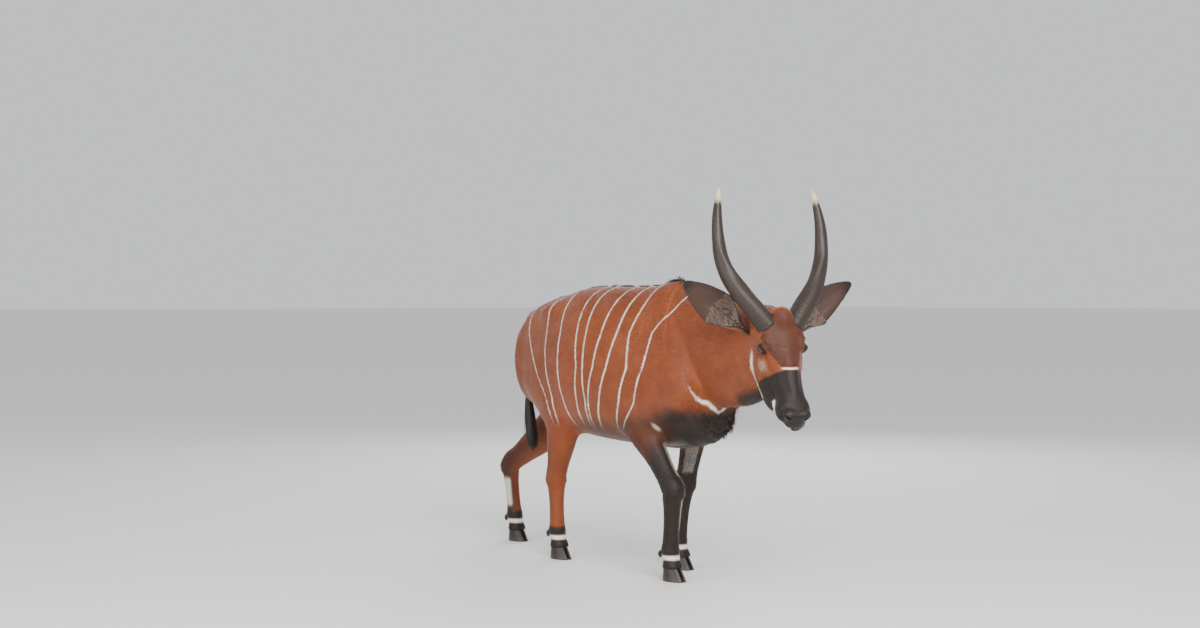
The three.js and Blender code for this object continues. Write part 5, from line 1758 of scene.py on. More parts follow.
@dataclass(frozen=True)
class Ear:
    """One leaf-shaped ear, rolled into a tube at its root, with its coat."""

    side: int
    half_width: float = 71.0
    stalk: float = 18.0  # half the width at the root
    root_roll: float = 2.9  # half the turn of the root's tube, in radians
    along: int = 64
    across: int = 44
    thickness: float = 3.6
    coat_count: int = 4600
    hair_count: int = 2300
    axis: tuple[tuple[float, ...], ...] = ((-92, 92, 50), (-124, 222, 160), (-146, 364, 264))
    facing: tuple[float, ...] = (0.96, 0.25, 0)

    def _axis(self, u: Array) -> tuple[Array, Array]:
        """The ear's middle line.

        Args:
            u: shares of its length.

        Returns:
            Points by length and unit tangents by the curve's own rule.
        """
        a, b, c = np.array(self.axis, float)
        t = np.linspace(0, 1, 201)[:, None]
        curve = (1 - t) ** 2 * a + 2 * t * (1 - t) * b + t**2 * c
        run = np.concatenate([[0], np.cumsum(np.linalg.norm(np.diff(curve, axis=0), axis=1))])
        place = np.stack([np.interp(u * run[-1], run, curve[:, n]) for n in range(3)], -1)
        w = u[..., None]
        return place, unit(2 * (1 - w) * (b - a) + 2 * w * (c - b))

    def _thick(self, u: Array, v: Array) -> Array:
        """The ear's thickness, which falls to the tip and the edges."""
        return self.thickness * (1 - 0.5 * u) * (0.35 + 0.65 * np.sqrt(np.maximum(1 - v**2, 0)))

    def at(self, u: Array, v: Array, off: Array | float) -> Array:
        """Points of the ear.

        Args:
            u: from root to tip.
            v: from -1 to 1 across.
            off: how far behind the middle of its thickness.

        Returns:
            Points in the animal's frame.
        """
        place, along = self._axis(u)
        facing = across_to(np.broadcast_to(np.array(self.facing), along.shape), along)
        across = unit(np.cross(facing, along))
        leaf = np.sin(math.pi * np.clip(u * 0.93 + 0.07, 0, 1) ** 0.86) ** 0.72
        width = self.stalk + (self.half_width - self.stalk) * np.clip((u - 0.1) / 0.38, 0, 1) ** 1.4
        half = width * np.clip(leaf, 0.02, 1) + 3
        roll = self.root_roll + (1.0 - self.root_roll) * np.clip((u - 0.2) / 0.32, 0, 1) ** 0.8
        radius = half / np.sin(np.minimum(roll, math.pi / 2))
        angle = v * roll
        fold = 1.6 * np.sin(v * 9 + 2 * u) * ramp(0.1, 0.4, u) * ramp(1.0, 0.6, np.abs(v))
        reach = radius + off + fold
        shift = across * (np.sin(angle) * reach)[..., None]
        shift -= facing * ((np.cos(angle) - np.cos(roll) * 0.5) * reach + radius * 0.2)[..., None]
        point = place + shift
        point[..., 1] *= self.side
        return LEVEL_HEAD.out(point.reshape(-1, 3)).reshape(point.shape)

    def build(self, name: str) -> Surface:
        """Makes the ear's shell with rounded edges.

        Args:
            name: the piece's name.

        Returns:
            Its surface with the places along and across it, and which face is inside.
        """
        u = np.linspace(0, 1, self.along)
        v = np.sin(np.linspace(-1, 1, self.across) * math.pi / 2)
        uu, vv = np.meshgrid(u, v, indexing="ij")
        thin = self._thick(uu, vv)
        rings = np.concatenate([self.at(uu, vv, thin / 2), self.at(uu, vv, -thin / 2)[:, ::-1]], 1)
        ends = np.stack([rings[0].mean(0), rings[-1].mean(0)])
        points = np.vstack([rings.reshape(-1, 3), ends])
        lengthwise = np.concatenate([np.repeat(u, 2 * self.across), [0, 1]])
        width = np.concatenate([np.tile(np.concatenate([v, v[::-1]]), self.along), [0, 0]])
        inside = np.concatenate([np.tile(np.repeat([0.0, 1.0], self.across), self.along), [0, 0]])
        places = {"ear_along": lengthwise, "ear_across": width, "ear_inside": inside, "tone": 0 * inside + 0.5}
        return Surface(name, points, outwards(points, tube(rings)), places)

    def _growth(self, u: Array, v: Array, face: int, random: Random, length: Array, drift: float) -> Growth:
        """Roots on one face, pointing to the tip and the nearer edge.

        Args:
            u: places along.
            v: places across.
            face: 1 outside, -1 inside.
            random: the piece's random numbers.
            length: of the tufts.
            drift: how far they turn to the edge.

        Returns:
            The growth.
        """
        step = 0.01
        thin = self._thick(u, v) / 2 * face
        root = self.at(u, v, thin)
        tipward = unit(self.at(np.minimum(u + step, 1.0), v, thin) - self.at(np.maximum(u - step, 0), v, thin))
        sideways = unit(self.at(u, v + step, thin) - self.at(u, v - step, thin))
        normal = unit(root - self.at(u, v, thin - 4 * face))
        way = unit(tipward + sideways * (drift * v + random.normal(0, 0.14, len(u)))[:, None])
        way = across_to(way, normal)
        lift = 0.5 + 0.07 * length * random.uniform(0.4, 1.6, len(u))
        return Growth(root, normal, way, length, 0.9 + 0.07 * length, lift, np.stack([u, v / 2 + 0.5], 1))

    def coat(self, name: str, seed: int) -> list[Surface]:
        """The short coat outside and the long pale hair inside.

        Args:
            name: the pieces' common name.
            seed: of their random numbers.

        Returns:
            Their surfaces.
        """
        random = np.random.default_rng(seed)
        u = random.random(self.coat_count) ** 0.9 * 0.97 + 0.015
        v = random.uniform(-0.98, 0.98, len(u))
        length = random.uniform(7, 11, len(u)) * (1 - 0.3 * u)
        back = ("back", self._growth(u, v, 1, random, length, 0.5), u, v, Tufts())
        u = random.uniform(0.05, 0.96, self.hair_count)
        edge = 1 - random.random(len(u)) ** 1.4 * 0.95
        v = edge * np.where(random.random(len(u)) < 0.5, -1, 1)
        middle = 10 + 22 * np.sin(math.pi * np.clip(u * 1.1, 0, 1))
        length = middle * random.uniform(0.6, 1.1, len(u)) * (0.5 + 0.5 * edge)
        long = Tufts(((0.0, 0.8), (0.35, 0.9), (0.7, 0.6)))
        inner = ("inner", self._growth(u, v, -1, random, length, -0.55), u, v, long)
        surfaces = []
        for inside, (face, growth, u, v, tufts) in enumerate((back, inner)):
            surface = tufts.build(f"{name}_{face}", growth, soft=0.6)
            for key, values in (("ear_along", u), ("ear_across", v), ("tone", random.random(len(u)))):
                surface.attributes[key] = tufts.spread(values)
            surface.attributes["ear_inside"] = np.full(len(surface.points), float(inside))
            surfaces.append(surface)
        return surfaces


@dataclass(frozen=True)
class LongHair:
    """The stiff crest along the spine and the tuft of the tail."""

    anatomy: Anatomy
    markings: Markings
    tufts: Tufts = Tufts(((0.0, 0.7), (0.22, 1.0), (0.5, 0.85), (0.78, 0.55)))
    mane_count: int = 4400
    mane_span: tuple[float, float] = (-1060, 540)
    tail_count: int = 1300
    tail_end: float = 455.0  # the tuft's lowest tip above the floor
    soft: float = 0.35

    def _topline(self, x: Array) -> tuple[Array, Array]:
        """The height of the back, and how steeply it rises.

        Args:
            x: places along the back.

        Returns:
            Heights and slopes.
        """
        knots = np.linspace(x.min() - 20, x.max() + 20, 120)
        low, high = np.full(len(knots), 900.0), np.full(len(knots), 1400.0)
        for _ in range(14):
            mid = (low + high) / 2
            inside = self.anatomy.skin(np.stack([knots, 0 * knots, mid], 1)) < 0
            low, high = np.where(inside, mid, low), np.where(inside, high, mid)
        return np.interp(x, knots, low), np.interp(x, knots, np.gradient(low, knots))

    def mane(self, seed: int) -> Surface:
        """The crest from poll to rump.

        Args:
            seed: of its random numbers.

        Returns:
            Its surface.
        """
        random = np.random.default_rng(seed)
        count, (low, high) = self.mane_count, self.mane_span
        x = low + (high - low) * random.random(count)
        height, rise = self._topline(x)
        y = random.normal(0, 1, count) * np.interp(x, (low, -200, 200, high), (4.5, 6, 6, 7))
        roots = np.stack([x, y, height - 1.5 - 0.02 * y**2], 1)
        up = unit(np.stack([-rise, y / 26, np.ones(count)], 1))
        back = across_to(np.stack([-np.ones(count), 0.02 * y, -rise], 1), up)
        length = np.interp(x, (low, -700, -100, 250, high), (34, 40, 56, 60, 44)) * random.uniform(0.6, 1.15, count)
        clump = np.sin(x / 7.0 + 2 * np.sin(x / 31.0)) * 0.1
        way = unit(back + up * (0.42 + clump + random.normal(0, 0.07, count))[:, None])
        normal = across_to(up, way)
        curl = -up * (0.2 + 0.15 * random.random(count))[:, None]
        curl = curl + np.array([[0, 1.0, 0]]) * random.normal(0, 0.1, count)[:, None]
        uv = np.stack([(x + 1080) / 1660, np.clip(y / 60 + 0.5, 0, 1)], 1)
        growth = Growth(roots, normal, way, length, random.uniform(2.0, 3.4, count), np.ones(count), uv)
        surface = self.tufts.build("mane", growth, curl, self.soft)
        marks = self.markings.at(roots)
        nearest = np.abs(marks["stripe_phase"] - np.rint(marks["stripe_phase"])) * marks["stripe_gap"]
        pale = ramp(15, 7, nearest) * marks["stripe_clear"]
        tone = random.random(count)
        surface.attributes |= {"pale": self.tufts.spread(pale), "tone": self.tufts.spread(tone)}
        return surface

    def tail(self, seed: int) -> Surface:
        """The dark tuft of the tail.

        Args:
            seed: of its random numbers.

        Returns:
            Its surface.
        """
        random = np.random.default_rng(seed)
        count, knots = self.tail_count, np.linspace(0, 1, 60)
        stem = Spline(tuple(row[:3] for row in Anatomy.TAIL_SPINE))
        share = 0.78 + 0.22 * random.random(count) ** 0.8
        centre = stem.even(knots)
        place = np.stack([np.interp(share, knots, centre[:, n]) for n in range(3)], 1)
        radius = np.interp(share, np.linspace(0, 1, 6), [row[3] for row in Anatomy.TAIL_SPINE])
        angle = random.uniform(0, 2 * math.pi, count)
        out = np.stack([np.cos(angle), np.sin(angle), 0 * angle], 1)
        roots = place + out * (radius - 2)[:, None]
        floor = self.tail_end + 26 * random.random(count)
        length = np.minimum((roots[:, 2] - floor) * random.uniform(0.7, 1.0, count), 240)
        way = unit(out * random.uniform(0.04, 0.16, count)[:, None] + np.array([[0.1, 0, -1]]))
        normal = across_to(out, way)
        curl = -out * 0.1 + np.array([[0.05, 0, 0]]) + random.normal(0, 0.03, (count, 3))
        uv = np.stack([share, angle / (2 * math.pi)], 1)
        growth = Growth(roots, normal, way, length, random.uniform(3.0, 5.0, count), np.ones(count), uv)
        surface = self.tufts.build("tail_tuft", growth, curl, self.soft)
        pale = np.zeros(len(surface.points))
        surface.attributes |= {"pale": pale, "tone": self.tufts.spread(random.random(count))}
        return surface


class Finish(Enum):
    """The kinds of surface, by the name of a material slot."""

    COAT = "coat"
    MANE = "dark_coat"
    HORN = "horn"
    HOOF = "hoof"
    EYE = "eye"


class Shader:
    """Adds nodes to one material by short calls, in which a value is a number, a colour or a socket."""

    def __init__(self, name: str) -> None:
        """Makes an empty material.

        Args:
            name: what the material is.
        """
        self.material = bpy.data.materials.new(name)
        self.material.use_nodes = True
        self.tree = self.material.node_tree
        self.tree.nodes.clear()
        self.output = self.tree.nodes.new("ShaderNodeOutputMaterial")

    def node(self, kind: str, inputs: dict[str | int, object] | None = None, **settings: object) -> Node:
        """Adds one node, its kind named without the ShaderNode prefix."""
        return add_node(self.tree, f"ShaderNode{kind}", inputs or {}, **settings)

    def read(self, name: str) -> NodeSocket:
        """A number stored on the mesh under this name."""
        return self.node("Attribute", attribute_name=name).outputs["Fac"]

    def math(self, operation: str, *values: object) -> NodeSocket:
        """The result of one operation on the values."""
        return self.node("Math", dict(enumerate(values)), operation=operation).outputs[0]

    def times(self, value: object, gain: object, more: object = None) -> NodeSocket:
        """A value times a gain, and more if given."""
        return self.math("MULTIPLY", value, gain) if more is None else self.math("MULTIPLY_ADD", value, gain, more)

    def rough(self, value: object, grain: object, depth: float) -> NodeSocket:
        """A value made uneven by a grain from 0 to 1."""
        return self.math("ADD", value, self.times(self.math("SUBTRACT", grain, 0.5), depth))

    def rise(self, value: NodeSocket, low: float, high: float) -> NodeSocket:
        """Rises smoothly from 0 at low to 1 at high."""
        inputs = {"Value": value, "From Min": low, "From Max": high}
        return self.node("MapRange", inputs, interpolation_type="SMOOTHSTEP").outputs[0]

    def mix(self, share: object, first: object, second: object) -> NodeSocket:
        """Goes from the first colour, at share 0, to the second."""
        return self.node("Mix", {0: share, 6: first, 7: second}, data_type="RGBA").outputs[2]

    def blend(self, share: object, first: object, second: object) -> NodeSocket:
        """Goes from the first number, at share 0, to the second."""
        return self.node("Mix", {0: share, 2: first, 3: second}, data_type="FLOAT").outputs[0]

    def tint(self, colour: NodeSocket, value: object) -> NodeSocket:
        """Makes a colour lighter or darker by a factor."""
        return self.node("HueSaturation", {"Value": value, "Color": colour}).outputs[0]

    def noise(self, size: Sequence[float], turn: float = 0.0, detail: float = 2.0) -> NodeSocket:
        """A noise in the object's own coordinates.

        Args:
            size: of its grains along x, y and z, in millimetres.
            turn: about y, in radians.
            detail: how many finer layers it has.

        Returns:
            Its value's socket.
        """
        place = self.node("TexCoord").outputs["Object"]
        inputs = {"Vector": place, "Rotation": (0.0, turn, 0.0), "Scale": tuple(METRE / s for s in size)}
        mapped = self.node("Mapping", inputs).outputs[0]
        return self.node("TexNoise", {"Vector": mapped, "Scale": 1.0, "Detail": detail, "Roughness": 0.55}).outputs[0]

    def bump(self, height: NodeSocket, depth: float) -> NodeSocket:
        """A fine relief, with its depth in millimetres."""
        return self.node("Bump", {"Height": height, "Strength": 1.0, "Distance": depth / METRE}).outputs[0]

    def close(self, **inputs: object) -> Material:
        """Ends the material with one surface; its inputs' spaces are written as underscores."""
        surface = self.node("BsdfPrincipled", {key.replace("_", " "): value for key, value in inputs.items()})
        self.tree.links.new(surface.outputs[0], self.output.inputs[0])
        return self.material


@dataclass(frozen=True)
class Palette:
    """The animal's colours."""

    chestnut: str = "#87401B"
    deep_chestnut: str = "#6B2E12"
    light_chestnut: str = "#A4602F"
    black: str = "#17110E"
    brown_black: str = "#2A1A12"
    cream: str = "#F0E9DC"
    bare_skin: str = "#16120F"
    horn: str = "#3A2B21"
    horn_dark: str = "#1F1712"
    horn_tip: str = "#D9C9A3"
    hoof: str = "#241D19"
    hoof_light: str = "#4A3D33"
    iris: str = "#2E1608"
    iris_edge: str = "#120905"
    pupil: str = "#030304"
    ear_skin: str = "#4A342B"
    ear_hair: str = "#7C6758"
    ear_root: str = "#B5A796"
    ear_end: str = "#46342A"
    floor: str = "#EBE9E6"


class Materials:
    """Makes each finish once."""

    def __init__(self, palette: Palette) -> None:
        """Makes them all.

        Args:
            palette: the colours.
        """
        self.c = {name: linear(value) for name, value in vars(palette).items()}
        self.coat = self._coat("short_coat", skin=False)
        self.skin = self._coat("short_coat_and_skin", skin=True)
        self.mane = self._mane()
        self.horn = self._horn()
        self.hoof = self._hoof()
        self.eye = self._eye()
        self.ear = self._ear()
        self.lash = Shader("dark_hair").close(Base_Color=self.c["black"], Roughness=0.45)
        self.floor = Shader("matt_floor").close(Base_Color=self.c["floor"], Roughness=0.95, Specular_IOR_Level=0.2)

    def _coat(self, name: str, skin: bool) -> Material:
        """Short glossy chestnut hair with deeper and lighter patches and with the black, white and striped marks; the
        black marks include painted shade under the throat and jaw and between the thighs.

        Args:
            name: the material's name.
            skin: whether it also shows bare skin and streaks of hair as relief.

        Returns:
            The material.
        """
        s, c = Shader(name), self.c
        patches = s.rise(s.noise((260, 190, 240)), 0.3, 0.7)
        base = s.mix(s.times(patches, 0.4), c["chestnut"], c["deep_chestnut"])
        glow = s.rise(s.noise((90, 90, 90)), 0.4, 0.75)
        base = s.mix(s.times(glow, 0.22), base, c["light_chestnut"])
        grain = s.noise((7, 7, 7))
        # The dark mask: black hair, and painted shade under the throat and jaw and between the thighs.
        edge = s.rough(s.read("dark"), grain, 0.34)
        black = s.mix(s.rise(grain, 0.3, 0.7), c["black"], c["brown_black"])
        base = s.mix(s.rise(edge, 0.04, 0.96), base, black)
        away = s.times(s.math("PINGPONG", s.read("stripe_phase"), 0.5), s.read("stripe_gap"))
        ragged = s.rough(away, s.noise((9, 9, 14)), 5.0)
        stripe = s.times(s.rise(ragged, 6.4, 2.6), s.read("stripe_clear"))
        stripe = s.times(stripe, s.times(s.rise(s.noise((30, 30, 46)), 0.25, 0.6), 0.4, 0.42))
        white = s.rough(s.read("white"), grain, 0.3)
        base = s.mix(s.math("MAXIMUM", s.rise(white, 0.12, 0.82), stripe), base, c["cream"])
        base = s.tint(base, s.times(s.read("along"), 0.16, s.times(s.read("tone"), 0.34, 0.8)))
        gloss = {"Sheen_Roughness": 0.4, "Specular_IOR_Level": 0.35}
        if not skin:
            return s.close(Base_Color=base, Roughness=0.5, Sheen_Weight=0.25, **gloss)
        bare = s.rise(s.read("bare"), 0.3, 0.7)
        base = s.mix(bare, base, c["bare_skin"])
        streak = s.blend(s.read("limb"), s.noise((22, 2.4, 2.4), 0.45), s.noise((2.0, 2.0, 16)))
        relief = s.blend(bare, streak, s.noise((2.6, 2.6, 2.6), detail=1))
        dull = s.times(bare, -0.2, 0.56)
        return s.close(Base_Color=base, Roughness=dull, Normal=s.bump(relief, 1.1), Sheen_Weight=0.2, **gloss)

    def _mane(self) -> Material:
        """Stiff dark hair, whitish where a stripe meets the crest."""
        s, c = Shader("stiff_mane"), self.c
        base = s.mix(s.rise(s.read("tone"), 0.5, 1.0), c["black"], c["brown_black"])
        base = s.mix(s.times(s.read("pale"), 0.85), base, c["cream"])
        base = s.tint(base, s.times(s.read("along"), 0.5, 0.8))
        return s.close(Base_Color=base, Roughness=0.42, Sheen_Weight=0.15, Specular_IOR_Level=0.4)

    def _horn(self) -> Material:
        """Worn keratin: dark and dull at the ringed root, smoother above, with an ivory tip."""
        s, c = Shader("horn_keratin"), self.c
        along = s.read("horn_along")
        streak = s.noise((5, 5, 60), detail=4)
        base = s.mix(streak, c["horn_dark"], c["horn"])
        base = s.mix(s.rise(s.times(streak, 0.05, along), 0.9, 0.965), base, c["horn_tip"])
        dull = s.times(along, -0.2, 0.55)
        return s.close(Base_Color=base, Roughness=dull, Normal=s.bump(streak, 0.5), Specular_IOR_Level=0.45)

    def _hoof(self) -> Material:
        """Hard keratin with fine lengthwise streaks, scuffed paler near the ground."""
        s, c = Shader("hoof_keratin"), self.c
        streak = s.noise((3, 3, 40), detail=3)
        base = s.mix(s.times(s.rise(s.read("hoof_up"), 0.5, 0.0), streak), c["hoof"], c["hoof_light"])
        return s.close(Base_Color=base, Roughness=0.42, Normal=s.bump(streak, 0.25))

    def _eye(self) -> Material:
        """A wet dark-brown eye: a long level pupil in a fibrous iris under a clear glossy cornea."""
        s, c = Shader("eye_cornea_and_iris"), self.c
        along, up = s.read("eye_along"), s.read("eye_up")
        radius = s.math("SQRT", s.math("ADD", s.math("POWER", along, 2.0), s.math("POWER", up, 2.0)))
        turn = s.times(s.math("ARCTAN2", up, along), 9.0)
        fibre = s.node("TexNoise", {"W": turn, "Scale": 1.0, "Detail": 2.0}, noise_dimensions="1D").outputs[0]
        iris = s.mix(s.rise(radius, 7.0, 15.0), c["iris"], c["iris_edge"])
        iris = s.tint(iris, s.times(fibre, 1.4, 0.4))
        iris = s.mix(s.rise(radius, 15.0, 16.5), iris, c["iris_edge"])
        wide = s.math("POWER", s.math("DIVIDE", along, 10.5), 4.0)
        tall = s.math("POWER", s.math("DIVIDE", up, 4.6), 2.0)
        base = s.mix(s.rise(s.math("ADD", wide, tall), 1.15, 0.85), iris, c["pupil"])
        return s.close(Base_Color=base, Roughness=0.22, IOR=1.38, Coat_Weight=1.0, Coat_Roughness=0.02)

    def _ear(self) -> Material:
        """The ear: chestnut outside with a black rim and tip, dark skin inside with long pale hair."""
        s, c = Shader("ear_coat"), self.c
        along, across = s.read("ear_along"), s.math("ABSOLUTE", s.read("ear_across"))
        grain = s.times(s.noise((7, 7, 7)), 0.16, -0.08)
        rim = s.math("MAXIMUM", s.math("ADD", across, grain), s.math("ADD", s.times(along, 0.6, 0.4), grain))
        back = s.mix(s.rise(rim, 0.8, 0.97), c["chestnut"], c["black"])
        hair = s.mix(s.rise(along, 0.12, 0.42), c["ear_root"], c["ear_hair"])
        hair = s.mix(s.rise(along, 0.5, 0.9), hair, c["ear_end"])
        skin = s.mix(s.rise(rim, 0.9, 1.0), c["ear_skin"], c["black"])
        base = s.mix(s.read("ear_inside"), back, s.mix(s.rise(s.read("along"), 0.02, 0.2), skin, hair))
        base = s.tint(base, s.times(s.read("tone"), 0.4, 0.8))
        return s.close(Base_Color=base, Roughness=0.55, Sheen_Weight=0.2, Specular_IOR_Level=0.3)


@dataclass(frozen=True)
class Studio:
    """A pale floor, soft light, and the camera where the photo was taken from; lengths are in metres."""

    shift: Array  # from the shaping frame to the model's, in millimetres
    floor: float = 400.0  # across
    distance: float = 7.1
    direction: tuple[float, float] = (0.743, -0.669)  # of the camera, seen from the shaping frame's origin
    height: float = 1.19
    heading: float = math.radians(141.1)
    pitch: float = -0.0085
    lens: float = 49.44  # in millimetres
    clip_end: float = 600.0
    room: str = "#E9EBEE"
    aim: tuple[float, float, float] = (0, 0, 0.8)
    # name, place, width and power of each lamp
    lamps: tuple[tuple[str, tuple[float, float, float], float, float], ...] = (
        ("key", (5.2, -2.2, 4.2), 3.2, 420),
        ("fill", (1.0, -6.0, 2.6), 4.0, 160),
        ("back", (-4.0, 4.5, 4.0), 3.0, 200),
    )

    def _camera(self) -> None:
        """Places the camera."""
        data = bpy.data.cameras.new("camera")
        data.lens, data.clip_end = self.lens, self.clip_end
        camera = add_object("camera", data)
        away = self.distance * np.array(self.direction) + self.shift[:2] / METRE
        camera.location = (*away, self.height)
        camera.rotation_euler = (math.pi / 2 + self.pitch, 0, self.heading - math.pi / 2)
        bpy.context.scene.camera = camera

    def build(self, material: Material) -> None:
        """Makes the floor, the world, the lamps and the camera.

        Args:
            material: the floor's finish.
        """
        half = self.floor / 2
        mesh = bpy.data.meshes.new("floor")
        mesh.from_pydata([(-half, -half, 0), (half, -half, 0), (half, half, 0), (-half, half, 0)], [], [(0, 1, 2, 3)])
        mesh.materials.append(material)
        add_object("floor", mesh)
        world = bpy.data.worlds.new("pale_room")
        world.use_nodes = True
        world.node_tree.nodes["Background"].inputs[0].default_value = linear(self.room)
        world.node_tree.nodes["Background"].inputs[1].default_value = 1.0
        bpy.context.scene.world = world
        for name, place, size, power in self.lamps:
            data = bpy.data.lights.new(name, "AREA")
            data.size, data.energy = size, power
            lamp = add_object(name, data)
            lamp.location = place
            lamp.rotation_euler = (Vector(self.aim) - Vector(place)).to_track_quat("-Z", "Y").to_euler()
        self._camera()


class Lashes:
    """Stiff hairs set on points by geometry nodes, then made into plain mesh."""

    # how far along a hair of length 1 each ring is, and its radius
    RINGS = ((0.0, 0.05), (0.3, 0.045), (0.6, 0.034), (0.85, 0.02))
    AROUND = 4
    BEND = 0.35
    UNEVENNESS = 0.35
    SEED = 5

    def __init__(self, material: Material) -> None:
        """Makes the node group once, for hairs of this material."""
        self.material = material
        self.group = self._group()

    def _hair(self) -> Object:
        """One curved tapered hair of length 1 along z."""
        turn = 2 * math.pi * np.arange(self.AROUND) / self.AROUND
        points = [(r * math.cos(t) + self.BEND * z * z, r * math.sin(t), z) for z, r in self.RINGS for t in turn]
        points = np.array([*points, (0, 0, 0), (self.BEND, 0, 1.0)])
        faces = outwards(points, tube(points[:-2].reshape(len(self.RINGS), self.AROUND, 3)))
        mesh = bpy.data.meshes.new("lash")
        mesh.from_pydata(points.tolist(), [], faces.tolist())
        return bpy.data.objects.new("lash", mesh)

    def _group(self) -> NodeTree:
        """Puts a hair on every point, turned by its stored way and scaled by its stored size."""
        group = bpy.data.node_groups.new("hairs_on_points", "GeometryNodeTree")
        sockets = {"Roots": "Geometry", "Hair": "Object", "Unevenness": "Float"}
        for name, kind in sockets.items():
            group.interface.new_socket(name, in_out="INPUT", socket_type=f"NodeSocket{kind}")
        group.interface.new_socket("Hairs", in_out="OUTPUT", socket_type="NodeSocketGeometry")
        add = partial(add_node, group)
        given = add("NodeGroupInput", {}).outputs
        stored = "GeometryNodeInputNamedAttribute"
        way = add(stored, {"Name": "way"}, data_type="FLOAT_VECTOR").outputs["Attribute"]
        size = add(stored, {"Name": "size"}).outputs["Attribute"]
        least = add("ShaderNodeMath", {0: 1.0, 1: given["Unevenness"]}, operation="SUBTRACT").outputs[0]
        random = add("FunctionNodeRandomValue", {"Min": least, "Seed": self.SEED})
        share = next(o for o in random.outputs if o.type == "VALUE" and o.enabled)
        inputs = {
            "Points": add("GeometryNodeMeshToPoints", {"Mesh": given["Roots"]}).outputs[0],
            "Instance": add("GeometryNodeObjectInfo", {"Object": given["Hair"]}).outputs["Geometry"],
            "Rotation": add("FunctionNodeAlignRotationToVector", {"Vector": way}, axis="Z").outputs[0],
            "Scale": add("ShaderNodeMath", {0: share, 1: size}, operation="MULTIPLY").outputs[0],
        }
        hairs = add("GeometryNodeInstanceOnPoints", inputs).outputs[0]
        real = add("GeometryNodeRealizeInstances", {0: hairs}).outputs[0]
        finish = add("GeometryNodeSetMaterial", {"Geometry": real, "Material": self.material}).outputs[0]
        add("NodeGroupOutput", {"Hairs": finish})
        return group

    def build(self, name: str, roots: Array, ways: Array, sizes: Array, shift: Array) -> Object:
        """Makes one piece of hairs.

        Args:
            name: its name.
            roots: where the hairs stand.
            ways: where they point.
            sizes: their lengths.
            shift: from the shaping frame to the model's.

        Returns:
            The piece.
        """
        mesh = bpy.data.meshes.new(f"{name}_roots")
        mesh.from_pydata(((roots + shift) / METRE).tolist(), [], [])
        mesh.attributes.new("way", "FLOAT_VECTOR", "POINT").data.foreach_set("vector", ways.astype(np.float32).ravel())
        mesh.attributes.new("size", "FLOAT", "POINT").data.foreach_set("value", (sizes / METRE).astype(np.float32))
        holder, hair = add_object(f"{name}_roots", mesh), self._hair()
        modifier = holder.modifiers.new("hairs", "NODES")
        modifier.node_group = self.group
        inputs = {item.name: item.identifier for item in self.group.interface.items_tree if item.in_out == "INPUT"}
        modifier[inputs["Hair"]] = hair
        modifier[inputs["Unevenness"]] = self.UNEVENNESS
        bpy.context.view_layer.update()
        made = holder.evaluated_get(bpy.context.evaluated_depsgraph_get())
        result = bpy.data.meshes.new_from_object(made)
        for done in (holder, hair):
            bpy.data.objects.remove(done)
        result.name = name
        for attribute in ("way", "size"):
            if attribute in result.attributes:
                result.attributes.remove(result.attributes[attribute])
        result.shade_smooth()
        log.info("%s: %d triangles", name, len(result.polygons))
        return add_object(name, result)


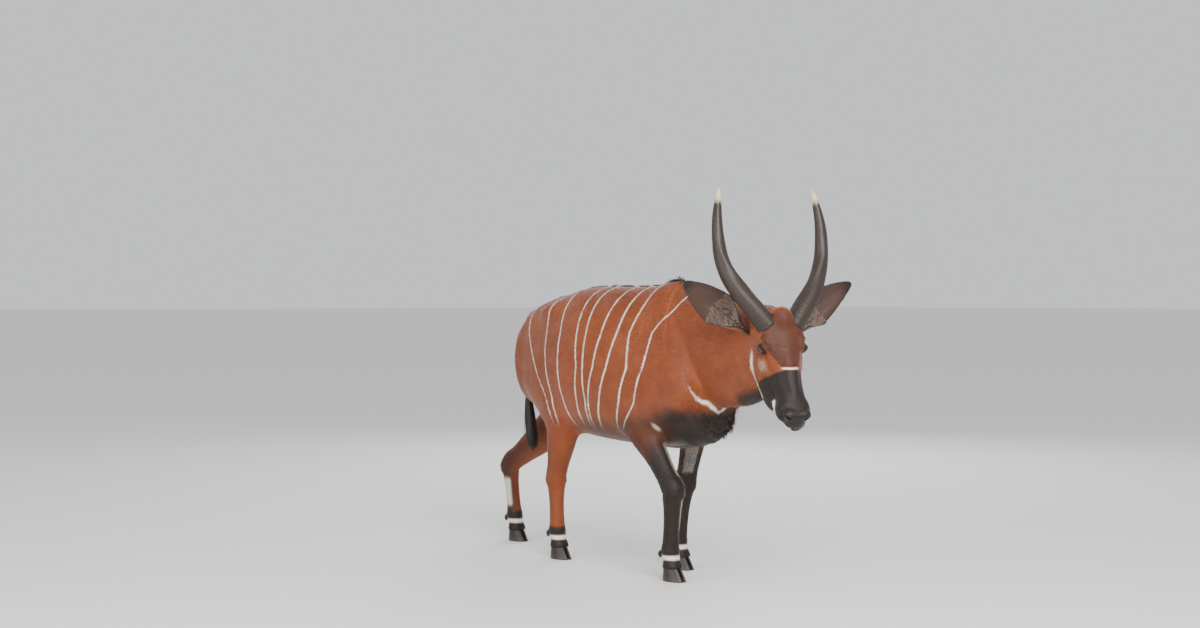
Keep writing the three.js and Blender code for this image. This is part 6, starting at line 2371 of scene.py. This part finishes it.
class Bongo:
    """Puts the whole animal together."""

    COAT_SEED, MANE_SEED, TAIL_SEED, EAR_SEED, LASH_SEED = 100, 31, 32, 40, 7
    LASHES = 64  # pairs on each upper lid

    def __init__(self) -> None:
        """Makes the flesh, the finishes and the place of the shaping frame."""
        low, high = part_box("eye_left")
        centre = (np.array(low) + np.array(high)) / 2 * METRE
        self.shift = centre - HEAD.out(EyeSeat(1).centre)
        self.materials = Materials(Palette())
        self.anatomy = Anatomy()
        self.markings = Markings()

    def _add(self, surface: Surface, material: Material, finish: Finish, *nodes: str) -> None:
        """Adds one piece.

        Args:
            surface: its mesh.
            material: its finish.
            finish: its material slot; not used.
            *nodes: the nodes it stands for.
        """
        piece = surface.to_object(self.shift, material)
        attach(piece, "root")
        if nodes:
            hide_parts(*nodes)

    def skin(self) -> Mesh3:
        """Builds the one skin over all the flesh."""
        mesh = SkinSurface(self.anatomy).build()
        FaceDetail().apply(mesh)
        marks = self.markings.at(mesh.points)
        marks |= {"tone": np.full(len(mesh.points), 0.5), "along": np.full(len(mesh.points), 0.3)}
        flesh = ["torso", "neck", "head", "tail"]
        flesh += [f"{leg.name}_{part}" for leg in LEGS for part in ("upper", "middle", "lower")]
        self._add(Surface("skin", mesh.points, mesh.triangles, marks), self.materials.skin, Finish.COAT, *flesh)
        return mesh

    def hair(self, mesh: Mesh3) -> None:
        """Grows the short coat, the mane and the tail's tuft.

        Args:
            mesh: the skin.
        """
        coat = Coat(mesh, self.markings, Lie())
        for seed, (name, zone) in enumerate(coat.zones().items(), self.COAT_SEED):
            self._add(coat.grow(name, zone, seed), self.materials.coat, Finish.COAT)
        hair = LongHair(self.anatomy, self.markings)
        for surface in (hair.mane(self.MANE_SEED), hair.tail(self.TAIL_SEED)):
            self._add(surface, self.materials.mane, Finish.MANE)

    def head_parts(self) -> None:
        """Adds eyes, horns, ears and lashes."""
        lashes = Lashes(self.materials.lash)
        for name, side in SIDES.items():
            self._add(EyeBall(EyeSeat(side)).build(f"eyeball_{name}"), self.materials.eye, Finish.EYE, f"eye_{name}")
            self._add(Horn(side).build(f"spiral_horn_{name}"), self.materials.horn, Finish.HORN, f"horn_{name}")
            ear = Ear(side)
            self._add(ear.build(f"leaf_ear_{name}"), self.materials.ear, Finish.COAT, f"ear_{name}")
            for surface in ear.coat(f"ear_coat_{name}", self.EAR_SEED + side):
                self._add(surface, self.materials.ear, Finish.COAT)
            piece = lashes.build(f"eyelashes_{name}", *self._lash_roots(EyeSeat(side)), self.shift)
            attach(piece, "root")

    def _lash_roots(self, seat: EyeSeat) -> tuple[Array, Array, Array]:
        """Where the lashes of an upper lid stand.

        Args:
            seat: the eye's place.

        Returns:
            Roots, ways and sizes.
        """
        random = np.random.default_rng(self.LASH_SEED + seat.side)
        count = 2 * self.LASHES
        u = np.repeat(np.linspace(-0.8, 0.92, self.LASHES), 2) + random.normal(0, 0.01, count)
        w = -seat.slant * u * seat.half_long - 0.4 + seat.rise * (1 - u**2) ** 0.8
        reach = np.tile([EYE_RADIUS + 1.6, EYE_RADIUS + 2.4], self.LASHES)
        flat = np.stack([u * seat.half_long, w + 0.4], 1) / (EYE_RADIUS + 1)
        out = np.sqrt(np.maximum(1 - np.sum(flat**2, axis=1), 0.02))
        direction = unit(np.stack([flat[:, 0], flat[:, 1], out], 1))
        roots = HEAD.out(seat.centre + (direction * reach[:, None]) @ seat.axes)
        along, up = 0.35 * u + random.normal(0, 0.08, count), 0.35 + random.normal(0, 0.08, count)
        ways = unit(np.stack([along, up, np.ones(count)], 1)) @ seat.axes @ HEAD.axes.T
        return roots, ways, (11 - 5 * np.abs(u - 0.05)) * random.uniform(0.8, 1.1, count)

    def feet(self) -> None:
        """Adds the eight hooves."""
        for leg in LEGS:
            for toe, which in (("outer", leg.side), ("inner", -leg.side)):
                hoof = Hoof(leg, which).build(f"toe_{leg.name}_{toe}")
                self._add(hoof, self.materials.hoof, Finish.HOOF, f"hoof_{leg.name}_{toe}")

    def build(self) -> None:
        """Builds every piece and the room round it."""
        self.hair(self.skin())
        self.head_parts()
        self.feet()
        Studio(self.shift).build(self.materials.floor)


def main() -> None:
    """Loads the frame, builds the animal and reports each piece."""
    logging.basicConfig(level=logging.INFO, format="%(name)s: %(message)s", stream=sys.stdout)
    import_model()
    Bongo().build()


if __name__ == "__main__":
    main()
